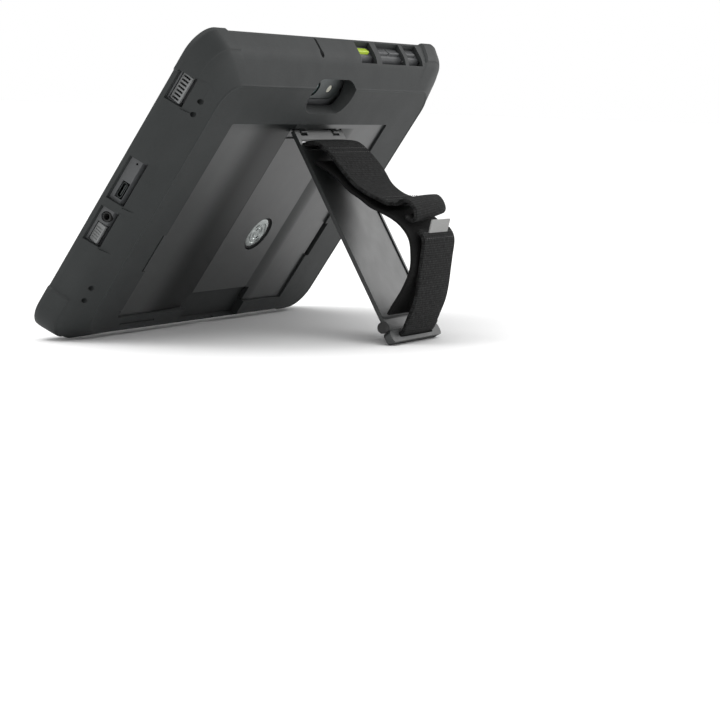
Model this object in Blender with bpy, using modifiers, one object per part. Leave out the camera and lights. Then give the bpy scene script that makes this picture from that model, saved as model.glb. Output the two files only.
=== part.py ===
# Rugged field tablet in a soft protective case with kickstand and hand strap.
# Case frame: X along the long edge, Y up the screen, Z out of the back; rim plane at Z = 0.
# Stand frame: same directions with the stand closed, origin on the hinge pin.
import bpy
import bmesh
import math
from mathutils import Matrix, Vector

MM = 0.001
GAP = 0.3 * MM             # air left between neighbouring solids

# ---- case ----
CASE_W = 275.0 * MM
CASE_H = 186.0 * MM
CASE_D = 22.0 * MM
HX, HY = CASE_W / 2, CASE_H / 2
WALL = 2.0 * MM
CORNER_R = 14.0 * MM
WALL_Z = 13.0 * MM         # depth where the walls turn into the sloping back
WALL_DRAFT = 4.5 * MM      # how far the walls lean in by that depth
RIDGE_IN = 19.5 * MM       # inset of the flat back from the rim
FOOT_ROUND = 7.0 * MM      # inset of the flat back at the bottom edge
BUMPER_T = 1.4 * MM
BUMPER_L = 24.0 * MM
BUMPER_RAMP = 2.0 * MM
FLOOR_Z = 15.9 * MM        # inside floor of the tray
SKIN = 1.0 * MM            # soft skin under the hard panel
RAMP_Z = 11.0 * MM
FIN_T = 1.2 * MM

# ---- hard panel in the back ----
PANEL_X = (-92.0 * MM, 84.0 * MM)
PANEL_Y = (-HY + 16.0 * MM, HY - 43.5 * MM)
PANEL_Z0 = FLOOR_Z + SKIN + GAP
PANEL_Z1 = 20.6 * MM
PANEL_R = 1.0 * MM
TROUGH_Z = 18.9 * MM

# ---- stand ----
PIVOT = Vector((8.4 * MM, PANEL_Y[1] - 6.2 * MM, PANEL_Z1 - 0.2 * MM))
OPEN_DEG = 63.5
PLATE_W = 56.0 * MM
PLATE_T = 2.4 * MM
PLATE_END = 122.2 * MM
PIN_R = 0.7 * MM
BORE_R = PIN_R + GAP
FOOT_END = 129.4 * MM
FOOT_W = PLATE_W + 4.0 * MM
FOOT_T = 4.4 * MM
FOOT_SLOT = (-127.1 * MM, -123.9 * MM)
CAP_R = 3.2 * MM
CAP_L = 3.4 * MM
CAP_Y = -119.6 * MM
BAND_W = 49.0 * MM         # wide upper band and inner liner of the hand strap
STRAP_W = 39.0 * MM        # outer webbing
WEB_T = 2.2 * MM
LINER_T = 1.6 * MM

# ---- tablet ----
TAB_GAP = 0.3 * MM
TAB_Z0 = 1.2 * MM
TAB_Z1 = 12.6 * MM
HOUSE_WALL = 2.0 * MM

# windows along the top edge (x from, x to) and along the left edge (y from, y to)
TOP_WINDOWS = ((25.0 * MM, 43.5 * MM), (50.0 * MM, 80.0 * MM), (84.5 * MM, 102.5 * MM))
LEFT_WINDOWS = ((53.0 * MM, 70.0 * MM), (-9.0 * MM, 17.2 * MM), (-35.0 * MM, -13.8 * MM))
TOP_WIN_Z = (2.4 * MM, 14.0 * MM)
LEFT_WIN_Z = (3.0 * MM, 12.0 * MM)
SLOT_X = -20.0 * MM
CAM_X = -3.5 * MM
CAM_Y = HY - 24.8 * MM
CAM_L = 46.0 * MM
CAM_H = 19.0 * MM
PIN_HOLES_Y = (59.8 * MM, 52.0 * MM, -58.4 * MM, -66.3 * MM)

for old in list(bpy.data.objects):
    bpy.data.objects.remove(old, do_unlink=True)
parts = bpy.data.collections.new("field_tablet")
tools = bpy.data.collections.new("cutters")
for c in (parts, tools):
    bpy.context.scene.collection.children.link(c)

materials = {}


def material(name, color, metallic=0.0, rough=0.5):
    if name not in materials:
        m = bpy.data.materials.new(name)
        m.use_nodes = True
        b = m.node_tree.nodes["Principled BSDF"]
        b.inputs["Base Color"].default_value = (*color, 1)
        b.inputs["Metallic"].default_value = metallic
        b.inputs["Roughness"].default_value = rough
        m.diffuse_color = (*color, 1)
        materials[name] = m
    return materials[name]


SOFT = ("soft_shell", (0.05, 0.055, 0.055), 0, 0.75)
GLOSSY = ("glossy_panel", (0.03, 0.033, 0.033), 0, 0.25)
STAND = ("stand_plastic", (0.035, 0.038, 0.038), 0, 0.4)
GREY = ("grey_band", (0.2, 0.21, 0.21), 0, 0.5)
BLUE = ("blue_pad", (0.12, 0.4, 0.85), 0, 0.5)
FOAM = ("foam", (0.03, 0.028, 0.025), 0, 0.95)
METAL = ("bright_metal", (0.7, 0.7, 0.7), 1, 0.3)
WEB = ("webbing", (0.012, 0.012, 0.013), 0, 0.9)
RUBBER = ("foot_rubber", (0.02, 0.02, 0.02), 0, 0.8)
HOUSE = ("tablet_housing", (0.045, 0.045, 0.05), 0, 0.5)
GLASS = ("screen_glass", (0.01, 0.01, 0.012), 0, 0.08)
BOARD = ("board_green", (0.02, 0.16, 0.07), 0, 0.5)
LIME = ("lime_key", (0.5, 0.75, 0.04), 0, 0.45)
TAG = ("tag_fabric", (0.6, 0.6, 0.6), 0, 0.8)
CELL = ("battery_wrap", (0.08, 0.08, 0.09), 0, 0.5)
LENS = ("lens_plastic", (0.7, 0.7, 0.65), 0, 0.1)


def new_object(name, mesh, collection=parts):
    o = bpy.data.objects.new(name, mesh)
    collection.objects.link(o)
    if collection is tools:
        o.hide_render = True
        o.display_type = "WIRE"
    return o


def finish_bmesh(bm, name, collection=parts):
    bmesh.ops.remove_doubles(bm, verts=bm.verts, dist=1e-7)
    bmesh.ops.recalc_face_normals(bm, faces=bm.faces)
    me = bpy.data.meshes.new(name)
    bm.to_mesh(me)
    bm.free()
    return new_object(name, me, collection)


def rounded_ring(x0, x1, y0, y1, r, z, steps=6):
    """Points of a rounded rectangle, counter-clockwise, at height z."""
    pts = []
    corners = ((x1 - r, y1 - r, 0), (x0 + r, y1 - r, 90), (x0 + r, y0 + r, 180), (x1 - r, y0 + r, 270))
    for cx, cy, a0 in corners:
        for k in range(steps + 1):
            a = math.radians(a0 + 90 * k / steps)
            pts.append(Vector((cx + r * math.cos(a), cy + r * math.sin(a), z)))
    return pts


def loft(rings, name, collection=parts):
    """Closed body through rings that all have the same number of points."""
    bm = bmesh.new()
    rows = [[bm.verts.new(p) for p in ring] for ring in rings]
    for a, b in zip(rows, rows[1:]):
        n = len(a)
        for i in range(n):
            bm.faces.new((a[i], a[(i + 1) % n], b[(i + 1) % n], b[i]))
    bm.faces.new(rows[0][::-1])
    bm.faces.new(rows[-1])
    return finish_bmesh(bm, name, collection)


def slab(name, x0, x1, y0, y1, z0, z1, r=0.0, steps=4, collection=parts):
    """Plate with rounded corners; a plain box when r is zero."""
    if r <= 0:
        bm = bmesh.new()
        bmesh.ops.create_cube(bm, size=1.0)
        bmesh.ops.scale(bm, vec=(x1 - x0, y1 - y0, z1 - z0), verts=bm.verts)
        bmesh.ops.translate(bm, vec=((x0 + x1) / 2, (y0 + y1) / 2, (z0 + z1) / 2), verts=bm.verts)
        return finish_bmesh(bm, name, collection)
    return loft([rounded_ring(x0, x1, y0, y1, r, z0, steps), rounded_ring(x0, x1, y0, y1, r, z1, steps)],
                name, collection)


def rod(name, centre, axis, radius, length, segments=24, collection=parts, radius2=None):
    """Round bar or cone about an axis letter, centred on a point."""
    bm = bmesh.new()
    bmesh.ops.create_cone(bm, cap_ends=True, segments=segments, radius1=radius,
                          radius2=radius if radius2 is None else radius2, depth=length)
    turn = {"X": Matrix.Rotation(math.pi / 2, 4, "Y"), "Y": Matrix.Rotation(-math.pi / 2, 4, "X"),
            "Z": Matrix.Identity(4)}[axis]
    bmesh.ops.transform(bm, matrix=Matrix.Translation(centre) @ turn, verts=bm.verts)
    return finish_bmesh(bm, name, collection)


def extrude_profile(name, points, x0, x1, collection=parts):
    """Profile of (y, z) points swept along X."""
    bm = bmesh.new()
    face = bm.faces.new([bm.verts.new((x0, y, z)) for y, z in points])
    out = bmesh.ops.extrude_face_region(bm, geom=[face])
    moved = [v for v in out["geom"] if isinstance(v, bmesh.types.BMVert)]
    bmesh.ops.translate(bm, vec=(x1 - x0, 0, 0), verts=moved)
    return finish_bmesh(bm, name, collection)


def apply_boolean(target, others, operation="DIFFERENCE"):
    for other in others:
        mod = target.modifiers.new("cut", "BOOLEAN")
        mod.operation = operation
        mod.solver = "EXACT"
        mod.object = other
        bpy.context.view_layer.update()
        dg = bpy.context.evaluated_depsgraph_get()
        me = bpy.data.meshes.new_from_object(target.evaluated_get(dg))
        target.modifiers.clear()
        old = target.data
        target.data = me
        bpy.data.meshes.remove(old)
        bpy.data.objects.remove(other, do_unlink=True)
    bm = bmesh.new()
    bm.from_mesh(target.data)
    bmesh.ops.remove_doubles(bm, verts=bm.verts, dist=2e-6)
    bmesh.ops.dissolve_degenerate(bm, edges=bm.edges, dist=2e-6)
    bm.to_mesh(target.data)
    bm.free()
    return target


def cut(target, *others):
    return apply_boolean(target, others)


def soften(target, width, segments=2, angle=40):
    mod = target.modifiers.new("edge", "BEVEL")
    mod.width = width
    mod.segments = segments
    mod.limit_method = "ANGLE"
    mod.angle_limit = math.radians(angle)
    return target


finished = []


def finish(obj, mat, body, smooth=True):
    obj.data.materials.clear()
    obj.data.materials.append(material(*mat))
    if smooth:
        obj.data.shade_smooth()
        obj.data.set_sharp_from_angle(angle=math.radians(35))
    finished.append((obj, body))
    return obj


# ================= case shell =================
def side_inset(z):
    """How far the left, right and top walls lean in at depth z."""
    if z <= WALL_Z:
        return WALL_DRAFT * z / WALL_Z
    return WALL_DRAFT + (RIDGE_IN - WALL_DRAFT) * (z - WALL_Z) / (CASE_D - WALL_Z)


def bumper_ring(x0, x1, y0, y1, r, z, bump):
    """Rounded rectangle whose four corners stand proud by bump."""
    pts = []
    spans = ((x1, y1, 1, 1), (x0, y1, -1, 1), (x0, y0, -1, -1), (x1, y0, 1, -1))
    for k, (cx, cy, sx, sy) in enumerate(spans):
        lead = Vector((0, -sy, 0)) if k % 2 == 0 else Vector((-sx, 0, 0))
        trail = Vector((-sx, 0, 0)) if k % 2 == 0 else Vector((0, -sy, 0))
        corner = Vector((cx, cy, z))
        out_lead, out_trail = -trail, -lead
        pts.append(corner + lead * (BUMPER_L + BUMPER_RAMP))
        pts.append(corner + lead * BUMPER_L + out_lead * bump)
        rr = r + bump
        mid = corner + (lead + trail) * r
        for j in range(7):
            a = math.radians(90 * j / 6)
            pts.append(mid + out_lead * rr * math.cos(a) + out_trail * rr * math.sin(a))
        pts.append(corner + trail * BUMPER_L + out_trail * bump)
        pts.append(corner + trail * (BUMPER_L + BUMPER_RAMP))
    return pts


def outer_ring(z, bump):
    e = side_inset(z)
    bottom = 0.0 if z <= 15 * MM else FOOT_ROUND * ((z - 15 * MM) / (CASE_D - 15 * MM)) ** 1.6
    return bumper_ring(-HX + e, HX - e, -HY + bottom, HY - e, CORNER_R, z, bump)


# height in mm and how far the corner bumpers stand out there
levels = [(0.0, BUMPER_T * 0.6), (0.8, BUMPER_T), (13.0, BUMPER_T), (15.0, BUMPER_T),
          (18.0, BUMPER_T * 0.6), (20.2, BUMPER_T * 0.25), (21.6, 0.0)]
rings = [outer_ring(z * MM, b) for z, b in levels]
crown = outer_ring(21.6 * MM, 0.0)
EDGE_ROUND = 0.9 * MM
rings.append([Vector((p.x - math.copysign(EDGE_ROUND, p.x), p.y - math.copysign(EDGE_ROUND, p.y), CASE_D))
              for p in crown])
shell = loft(rings, "case_shell")


def cavity_ring(z, extra):
    e = side_inset(z) + WALL + extra
    return rounded_ring(-HX + e, HX - e, -HY + WALL + extra, HY - e, CORNER_R - WALL + extra * 0.6, z, 5)


cavity = loft([cavity_ring(-1 * MM, 0), cavity_ring(0, 0), cavity_ring(RAMP_Z, 0),
               cavity_ring(14.2 * MM, 14 * MM), cavity_ring(FLOOR_Z, 22 * MM)], "cavity", tools)


def fin(name, foot, head):
    """Thin wedge rib from the wall (foot) to the floor edge (head)."""
    d = (head - foot).normalized()
    s = Vector((-d.y, d.x, 0)) * (FIN_T / 2)
    zt = RAMP_Z + 0.9 * MM
    zb = FLOOR_Z + 0.4 * MM
    bm = bmesh.new()
    ends = []
    for p, lo in ((foot, zt - 0.4 * MM), (head, 14.9 * MM)):
        ends.append([bm.verts.new((p.x + sx * s.x, p.y + sx * s.y, z))
                     for sx, z in ((-1, lo), (1, lo), (1, zb + 2 * MM), (-1, zb + 2 * MM))])
    a, b = ends
    for i in range(4):
        bm.faces.new((a[i], a[(i + 1) % 4], b[(i + 1) % 4], b[i]))
    bm.faces.new(a[::-1])
    bm.faces.new(b)
    return finish_bmesh(bm, name, tools)


fins = []
for side in (-1, 1):
    for k in range(7):
        y = (-66 + 22 * k) * MM
        x = side * (HX - WALL - 2 * MM)
        if side < 0 or abs(y) > 0:
            fins.append(fin("fin", Vector((x, y, 0)), Vector((side * (HX - 27 * MM), y * 0.72, 0))))
    for k in range(9):
        x = (-108 + 27 * k) * MM
        if side > 0 and abs(x - CAM_X) < 30 * MM:
            continue
        y = side * (HY - WALL - (6 if side > 0 else 1) * MM)
        fins.append(fin("fin", Vector((x, y, 0)), Vector((x * 0.8, side * (HY - 25 * MM), 0))))
for f in fins:
    cut(cavity, f)
cut(shell, cavity)

# windows, keyhole slot, small holes, camera opening
for x0, x1 in TOP_WINDOWS:
    cut(shell, slab("w", x0, x1, HY - 12 * MM, HY + 3 * MM, *TOP_WIN_Z, collection=tools))
for y0, y1 in LEFT_WINDOWS:
    cut(shell, slab("w", -HX - 3 * MM, -HX + 8 * MM, y0, y1, *LEFT_WIN_Z, collection=tools))
    relief = slab("w", -HX - 3 * MM, -HX + 7 * MM, y0 - 1 * MM, y1 + 1 * MM, 0, 7 * MM, collection=tools)
    relief.data.transform(Matrix.Translation((-0.2 * MM, 0, LEFT_WIN_Z[1] - 0.6 * MM)) @
                          Matrix.Translation((-HX, 0, 0)) @ Matrix.Rotation(math.radians(-34), 4, "Y") @
                          Matrix.Translation((HX - 5.2 * MM, 0, 0)))
    cut(shell, relief)
cut(shell, slab("s", SLOT_X - 1.1 * MM, SLOT_X + 1.1 * MM, HY - 12 * MM, HY + 3 * MM, 2 * MM, 11 * MM,
                collection=tools))
cut(shell, rod("s", (SLOT_X, HY - 5 * MM, 11 * MM), "Y", 1.9 * MM, 14 * MM, 16, tools))
for y in PIN_HOLES_Y:
    cut(shell, rod("h", (-HX + 11 * MM, y, 17 * MM), "Z", 1.5 * MM, 14 * MM, 12, tools))


def pill(name, length, height, z0, z1, grow=0.0, collection=tools):
    """Bar with round ends about the camera's centre, wider by grow at its z1 end."""
    ends = []
    for z, more in ((z0, 0.0), (z1, grow)):
        half_l, half_h = length / 2 + more, height / 2 + more
        ends.append(rounded_ring(CAM_X - half_l, CAM_X + half_l, CAM_Y - half_h, CAM_Y + half_h,
                                 half_h - 1e-5, z, 8))
    return loft(ends, name, collection)


cut(shell, pill("c", CAM_L, CAM_H, 8 * MM, 30 * MM))
cut(shell, pill("c", CAM_L, CAM_H, 18.5 * MM, 24 * MM, 2.5 * MM))

# pocket for the hard panel, finger notches at its edges, foot pocket, slits
cut(shell, slab("p", PANEL_X[0] - GAP, PANEL_X[1] + GAP, PANEL_Y[0] - GAP, PANEL_Y[1] + GAP,
                PANEL_Z0 - GAP, 30 * MM, PANEL_R, 3, tools))
for x0 in (PANEL_X[0] - 3.6 * MM, PANEL_X[1] - 0.4 * MM):
    cut(shell, slab("n", x0, x0 + 4 * MM, -46 * MM, -22 * MM, 19.0 * MM, 30 * MM, collection=tools))
FOOT_POCKET_X = (PIVOT.x - PLATE_W / 2 - CAP_L - 1.6 * MM, PIVOT.x + PLATE_W / 2 + CAP_L + 1.6 * MM)
FOOT_POCKET_Y = (PIVOT.y - FOOT_END - 1.2 * MM, PANEL_Y[0] + 9 * MM)
cut(shell, slab("f", *FOOT_POCKET_X, *FOOT_POCKET_Y, PANEL_Z0 - GAP, 30 * MM, collection=tools))
cut(shell, slab("f", 0, 18 * MM, -HY - 3 * MM, -HY + 13 * MM, 19.2 * MM, 30 * MM, collection=tools))
cut(shell, slab("g", -86 * MM, -52 * MM, PANEL_Y[0] - 5.4 * MM, PANEL_Y[0] - 4.4 * MM, 21.2 * MM, 30 * MM,
                collection=tools))
cut(shell, slab("g", -94 * MM, -88 * MM, -73 * MM, -72 * MM, 21.2 * MM, 30 * MM, collection=tools))
finish(shell, SOFT, "case")

# ================= hard panel =================
panel = slab("back_panel", *PANEL_X, *PANEL_Y, PANEL_Z0, PANEL_Z1, PANEL_R, 3)
trough_half = PLATE_W / 2 + 1.2 * MM
ramp_l, ramp_r = 34 * MM, 12 * MM
px = PIVOT.x
trough_deep = PANEL_Z1 - TROUGH_Z
profile = [(px - trough_half - ramp_l, PANEL_Z1 + 2 * MM), (px - trough_half - ramp_l, PANEL_Z1)]
for k in range(1, 8):
    t = k / 8
    fall = trough_deep * (1 - math.cos(math.pi * t / 2))
    profile.append((px - trough_half - ramp_l * (1 - t), PANEL_Z1 - fall))
profile += [(px - trough_half, TROUGH_Z), (px + trough_half, TROUGH_Z)]
for k in range(1, 5):
    t = k / 4
    profile.append((px + trough_half + ramp_r * t, TROUGH_Z + trough_deep * math.sin(math.pi * t / 2)))
profile.append((px + trough_half + ramp_r, PANEL_Z1 + 2 * MM))
trough = extrude_profile("t", profile, PANEL_Y[0] - 2 * MM, PIVOT.y + 3.0 * MM, tools)
trough.data.transform(Matrix(((0, 1, 0, 0), (1, 0, 0, 0), (0, 0, 1, 0), (0, 0, 0, 1))))
trough.data.flip_normals()
cut(panel, trough)
cut(panel, slab("t", px - trough_half, px + trough_half, PIVOT.y - 5 * MM, PIVOT.y + 3.0 * MM,
                18.1 * MM, 30 * MM, collection=tools))
cut(panel, slab("t", *FOOT_POCKET_X, PANEL_Y[0] - 2 * MM, FOOT_POCKET_Y[1], PANEL_Z0 - 1 * MM, 30 * MM,
                collection=tools))
DISC_X, DISC_Y = 15.0 * MM, -28.5 * MM
DISC_R = 9.5 * MM
cut(panel, rod("t", (DISC_X, DISC_Y, 19 * MM), "Z", DISC_R + 1.7 * MM, 10 * MM, 40, tools))
finish(panel, GLOSSY, "case")

ring = rod("latch_ring", (DISC_X, DISC_Y, PANEL_Z0 + 0.35 * MM), "Z", DISC_R + 1.4 * MM, 0.7 * MM, 40)
cut(ring, rod("t", (DISC_X, DISC_Y, 18 * MM), "Z", DISC_R + GAP, 10 * MM, 40, tools))
finish(ring, RUBBER, "case")
disc = rod("latch_disc", (DISC_X, DISC_Y, PANEL_Z0 + 0.4 * MM), "Z", DISC_R, 0.8 * MM, 40)
for r0, r1 in ((6.9, 6.3), (4.0, 3.4)):
    groove = rod("t", (DISC_X, DISC_Y, PANEL_Z0 + 2.5 * MM), "Z", r0 * MM, 4 * MM, 32, tools)
    cut(groove, rod("t", (DISC_X, DISC_Y, PANEL_Z0 + 2.5 * MM), "Z", r1 * MM, 6 * MM, 32, tools))
    cut(disc, groove)
finish(disc, METAL, "case")

# ================= inside of the case =================
PAD_X, PAD_Y = 84 * MM, HY - 46 * MM
PAD_Y0 = -5 * MM
BAND_Z = (FLOOR_Z - GAP - 0.7 * MM, FLOOR_Z - GAP)
band = slab("stiffening_frame", -PAD_X - 5 * MM, PAD_X + 5 * MM,
            PAD_Y0 - PAD_Y - 3 * MM, PAD_Y0 + PAD_Y + 3 * MM, *BAND_Z, 26 * MM, 8)
cut(band, slab("t", -PAD_X + 4 * MM, PAD_X - 4 * MM, PAD_Y0 - PAD_Y + 6 * MM, PAD_Y0 + PAD_Y - 6 * MM,
               BAND_Z[0] - 1 * MM, BAND_Z[1] + 1 * MM, 20 * MM, 8, tools))
finish(band, GREY, "case")


def lobed_pad(name, cx, cy, turn):
    """Soft three-lobed cushion."""
    pts = []
    for k in range(3):
        a = math.radians(120 * k) + turn
        for da in (-30, -12, 12, 30):
            b = a + math.radians(da)
            rr = (11.0 if abs(da) > 20 else 12.6) * MM
            pts.append((cx + rr * math.cos(b), cy + rr * math.sin(b)))
    z0, z1 = BAND_Z[0] - GAP - 1.6 * MM, BAND_Z[0] - GAP
    lo = [Vector((cx + (x - cx) * 0.94, cy + (y - cy) * 0.94, z0)) for x, y in pts]
    mid = [Vector((x, y, z0 + 0.6 * MM)) for x, y in pts]
    hi = [Vector((x, y, z1)) for x, y in pts]
    pad = loft([lo, mid, hi], name)
    crease = slab("t", -4 * MM, 4 * MM, -0.4 * MM, 0.4 * MM, z0 - 1 * MM, z0 + 0.4 * MM, collection=tools)
    crease.data.transform(Matrix.Translation((cx, cy, 0)) @ Matrix.Rotation(turn + 1.2, 4, "Z"))
    cut(pad, crease)
    return finish(pad, BLUE, "case")


for k, (sx, sy) in enumerate(((-1, 1), (1, 1), (1, -1), (-1, -1))):
    lobed_pad("corner_pad_%d" % (k + 1), sx * PAD_X, PAD_Y0 + sy * PAD_Y, math.atan2(sy * 0.7, sx))

FOAM_Z = (TAB_Z1 + GAP, FLOOR_Z - GAP)
FOAM_Y = (PAD_Y0 - PAD_Y + 26 * MM, PAD_Y0 + PAD_Y - 16 * MM)
foam = slab("foam_pad", -28 * MM, 28 * MM, *FOAM_Y, *FOAM_Z, 1.5 * MM, 2)
cut(foam, slab("t", -17 * MM, 17 * MM, FOAM_Y[0] - 4 * MM, FOAM_Y[0] + 17 * MM, 5 * MM, 20 * MM, 2 * MM, 2,
               tools))
finish(foam, FOAM, "case")
for k, x in enumerate((-8.5 * MM, 8.5 * MM)):
    rivet = rod("panel_rivet_%d" % (k + 1), (x, FOAM_Y[0] + 9 * MM, FLOOR_Z - GAP - 0.7 * MM), "Z",
                3.9 * MM, 1.4 * MM, 24, radius2=4.6 * MM)
    finish(rivet, METAL, "case")

# ================= hinge =================
LUG_W = 7 * MM
LUG_Y = 1.7 * MM
LUG_Z = (18.4 * MM, CASE_D)
LUG_IN = 6 * MM            # from the plate's side edge to the lug
plate_x0, plate_x1 = -PLATE_W / 2, PLATE_W / 2
LUG_X = (plate_x0 + LUG_IN, plate_x1 - LUG_IN - LUG_W)
for name, x0 in zip(("hinge_lug_left", "hinge_lug_right"), LUG_X):
    lug = slab(name, px + x0, px + x0 + LUG_W, PIVOT.y - LUG_Y, PIVOT.y + LUG_Y, *LUG_Z)
    soften(lug, 0.3 * MM, 1)
    cut(lug, rod("t", PIVOT + Vector((x0 + LUG_W / 2, 0, 0)), "X", BORE_R, LUG_W + 2 * MM, 16, tools))
    finish(lug, STAND, "case")
pin = rod("hinge_pin", PIVOT, "X", PIN_R, PLATE_W - 4 * MM, 16)
finish(pin, METAL, "case")

# ================= stand (drawn closed, origin on the pin) =================
half_t = PLATE_T / 2
plate = slab("kickstand_plate", plate_x0, plate_x1, -PLATE_END, 1.2 * MM, -half_t, half_t, 1.0 * MM, 2)
cut(plate, slab("t", plate_x0 + 1.8 * MM, plate_x1 - 1.8 * MM, -PLATE_END + 2 * MM, -11 * MM,
                half_t - 0.7 * MM, 10 * MM, 2 * MM, 3, tools))
for x0 in LUG_X:
    cut(plate, slab("t", x0 - GAP, x0 + LUG_W + GAP, -2.4 * MM, 4 * MM, -5 * MM, 5 * MM, collection=tools))
cut(plate, rod("t", (0, 0, 0), "X", BORE_R, PLATE_W - 4 * MM + 2 * GAP, 16, tools))
cut(plate, slab("t", -BAND_W / 2 - GAP, BAND_W / 2 + GAP, -9.6 * MM, -5.0 * MM, -5 * MM, 5 * MM,
                collection=tools))
finish(plate, STAND, "stand")

foot = slab("foot_bar", -FOOT_W / 2, FOOT_W / 2, -FOOT_END, -PLATE_END - GAP, -FOOT_T / 2, FOOT_T / 2,
            2.6 * MM, 4)
slot_half = STRAP_W / 2 + 0.6 * MM
cut(foot, slab("t", -slot_half, slot_half, *FOOT_SLOT, -9 * MM, 9 * MM, 1.2 * MM, 3, tools))
soften(foot, 0.5 * MM)
finish(foot, STAND, "stand")
for name, sx in (("foot_cap_left", -1), ("foot_cap_right", 1)):
    cap = rod(name, (sx * (PLATE_W / 2 + GAP + CAP_L / 2), CAP_Y, 0), "X", CAP_R, CAP_L, 24)
    soften(cap, 0.6 * MM)
    finish(cap, RUBBER, "stand")

bar = rod("strap_anchor_bar", (0, -6.0 * MM, 0), "X", 0.6 * MM, BAND_W - 1 * MM, 12)
finish(bar, METAL, "stand")


def spline(points, steps=4):
    """Smooth curve through (s, off) points."""
    out = []
    for i in range(len(points) - 1):
        p0 = Vector(points[max(i - 1, 0)])
        p1, p2 = Vector(points[i]), Vector(points[i + 1])
        p3 = Vector(points[min(i + 2, len(points) - 1)])
        for k in range(steps):
            t = k / steps
            q = 0.5 * ((2 * p1) + (p2 - p0) * t + (2 * p0 - 5 * p1 + 4 * p2 - p3) * t * t
                       + (3 * p1 - p0 - 3 * p2 + p3) * t ** 3)
            out.append((q.x, q.y))
    out.append(tuple(points[-1]))
    return out


def outline(path, thickness, x):
    """Edge profile of a webbing from its centre line, s down the plate and off away from it."""
    pts = [Vector((-s * MM, o * MM)) for s, o in path]
    left, right = [], []
    for i, p in enumerate(pts):
        d = (pts[min(i + 1, len(pts) - 1)] - pts[max(i - 1, 0)]).normalized()
        n = Vector((-d.y, d.x)) * (thickness / 2)
        left.append(p + n)
        right.append(p - n)
    return [Vector((x, q.x, q.y)) for q in left + right[::-1]]


def ribbon(name, left_path, right_path, thickness, width, mat):
    """Webbing whose two edges may follow different lines."""
    rows = [outline(spline(path), thickness, side * width / 2)
            for path, side in ((left_path, -1), (right_path, 1))]
    return finish(loft(rows, name), mat, "stand")


# upper band: round the anchor bar, out of the plate slot and away to the fold
UPPER = ((8.0, -0.6), (7.9, 2.6), (9.6, 6.8), (13.6, 10.2), (22.0, 13.3), (32.0, 15.6), (42.0, 18.6),
         (50.0, 23.4), (56.0, 28.0), (60.6, 31.4))
UPPER_RIGHT = UPPER[:6] + ((42.0, 16.6), (50.0, 20.4), (56.0, 26.0), (60.6, 31.4))
ribbon("strap_upper_band", UPPER, UPPER_RIGHT, WEB_T, BAND_W, WEB)
# fold: the free end turned back in a loop, open at the left edge and pressed flatter at the right
FOLD_LEFT = ((62.6, 35.8), (62.2, 38.2), (63.8, 41.4), (67.0, 43.2), (71.0, 43.4), (74.4, 42.0),
             (75.4, 39.8), (74.0, 38.0), (71.0, 36.8))
FOLD_RIGHT = ((61.0, 35.2), (60.2, 37.4), (61.4, 39.8), (64.4, 41.0), (67.6, 41.0), (69.8, 40.2),
              (70.6, 38.6), (69.6, 37.2), (67.6, 36.2))
ribbon("strap_fold", FOLD_LEFT, FOLD_RIGHT, WEB_T, BAND_W - 4 * MM, WEB)
# liner: the soft inner band the hand bears on
LINER = ((19.6, 2.4), (25.0, 6.2), (33.0, 10.6), (42.4, 13.8), (49.6, 17.9), (56.5, 21.4), (61.7, 25.4),
         (69.0, 30.6), (76.1, 33.6), (83.5, 34.2), (90.7, 31.6), (98.5, 26.7), (105.4, 17.9), (111.4, 6.6),
         (113.4, 3.0))
ribbon("strap_liner", LINER, LINER, LINER_T, BAND_W, WEB)
# outer webbing: from the fold down into the slot of the foot
LOWER = ((80.5, 38.6), (84.5, 39.2), (88.5, 38.0), (95.0, 33.2), (101.5, 28.4), (108.5, 23.2),
         (114.5, 17.8), (119.2, 11.8), (122.8, 7.2), (124.9, 4.4), (125.5, 1.6), (125.5, -1.8))
ribbon("strap_lower_webbing", LOWER, LOWER, WEB_T, STRAP_W, WEB)
TAG_PATH = ((82.0, 41.4), (80.0, 43.3), (78.0, 45.2))
ribbon("strap_tag", TAG_PATH, TAG_PATH, 0.9 * MM, 23 * MM, TAG)


# ================= tablet =================
def tab_ring(z, extra=0.0, r_extra=0.0):
    e = side_inset(z) + WALL + TAB_GAP + extra
    return rounded_ring(-HX + e, HX - e, -HY + WALL + TAB_GAP + extra, HY - e,
                        max(CORNER_R - WALL - TAB_GAP - extra + r_extra, 1 * MM), z, 5)


BEZEL_Z = 2.6 * MM
housing = loft([tab_ring(BEZEL_Z + GAP), tab_ring(9 * MM), tab_ring(11.2 * MM, 8 * MM, 12 * MM),
                tab_ring(TAB_Z1, 20 * MM, 30 * MM)], "rear_housing")
inner = loft([tab_ring(BEZEL_Z - 1 * MM, HOUSE_WALL), tab_ring(8 * MM, HOUSE_WALL),
              tab_ring(TAB_Z1 - 1.4 * MM, HOUSE_WALL + 20 * MM, 32 * MM)], "t", tools)
cut(housing, inner)


def tab_side_y(z):
    return HY - side_inset(z) - WALL - TAB_GAP


def tab_side_x(z):
    return -(HX - side_inset(z) - WALL - TAB_GAP)


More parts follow.
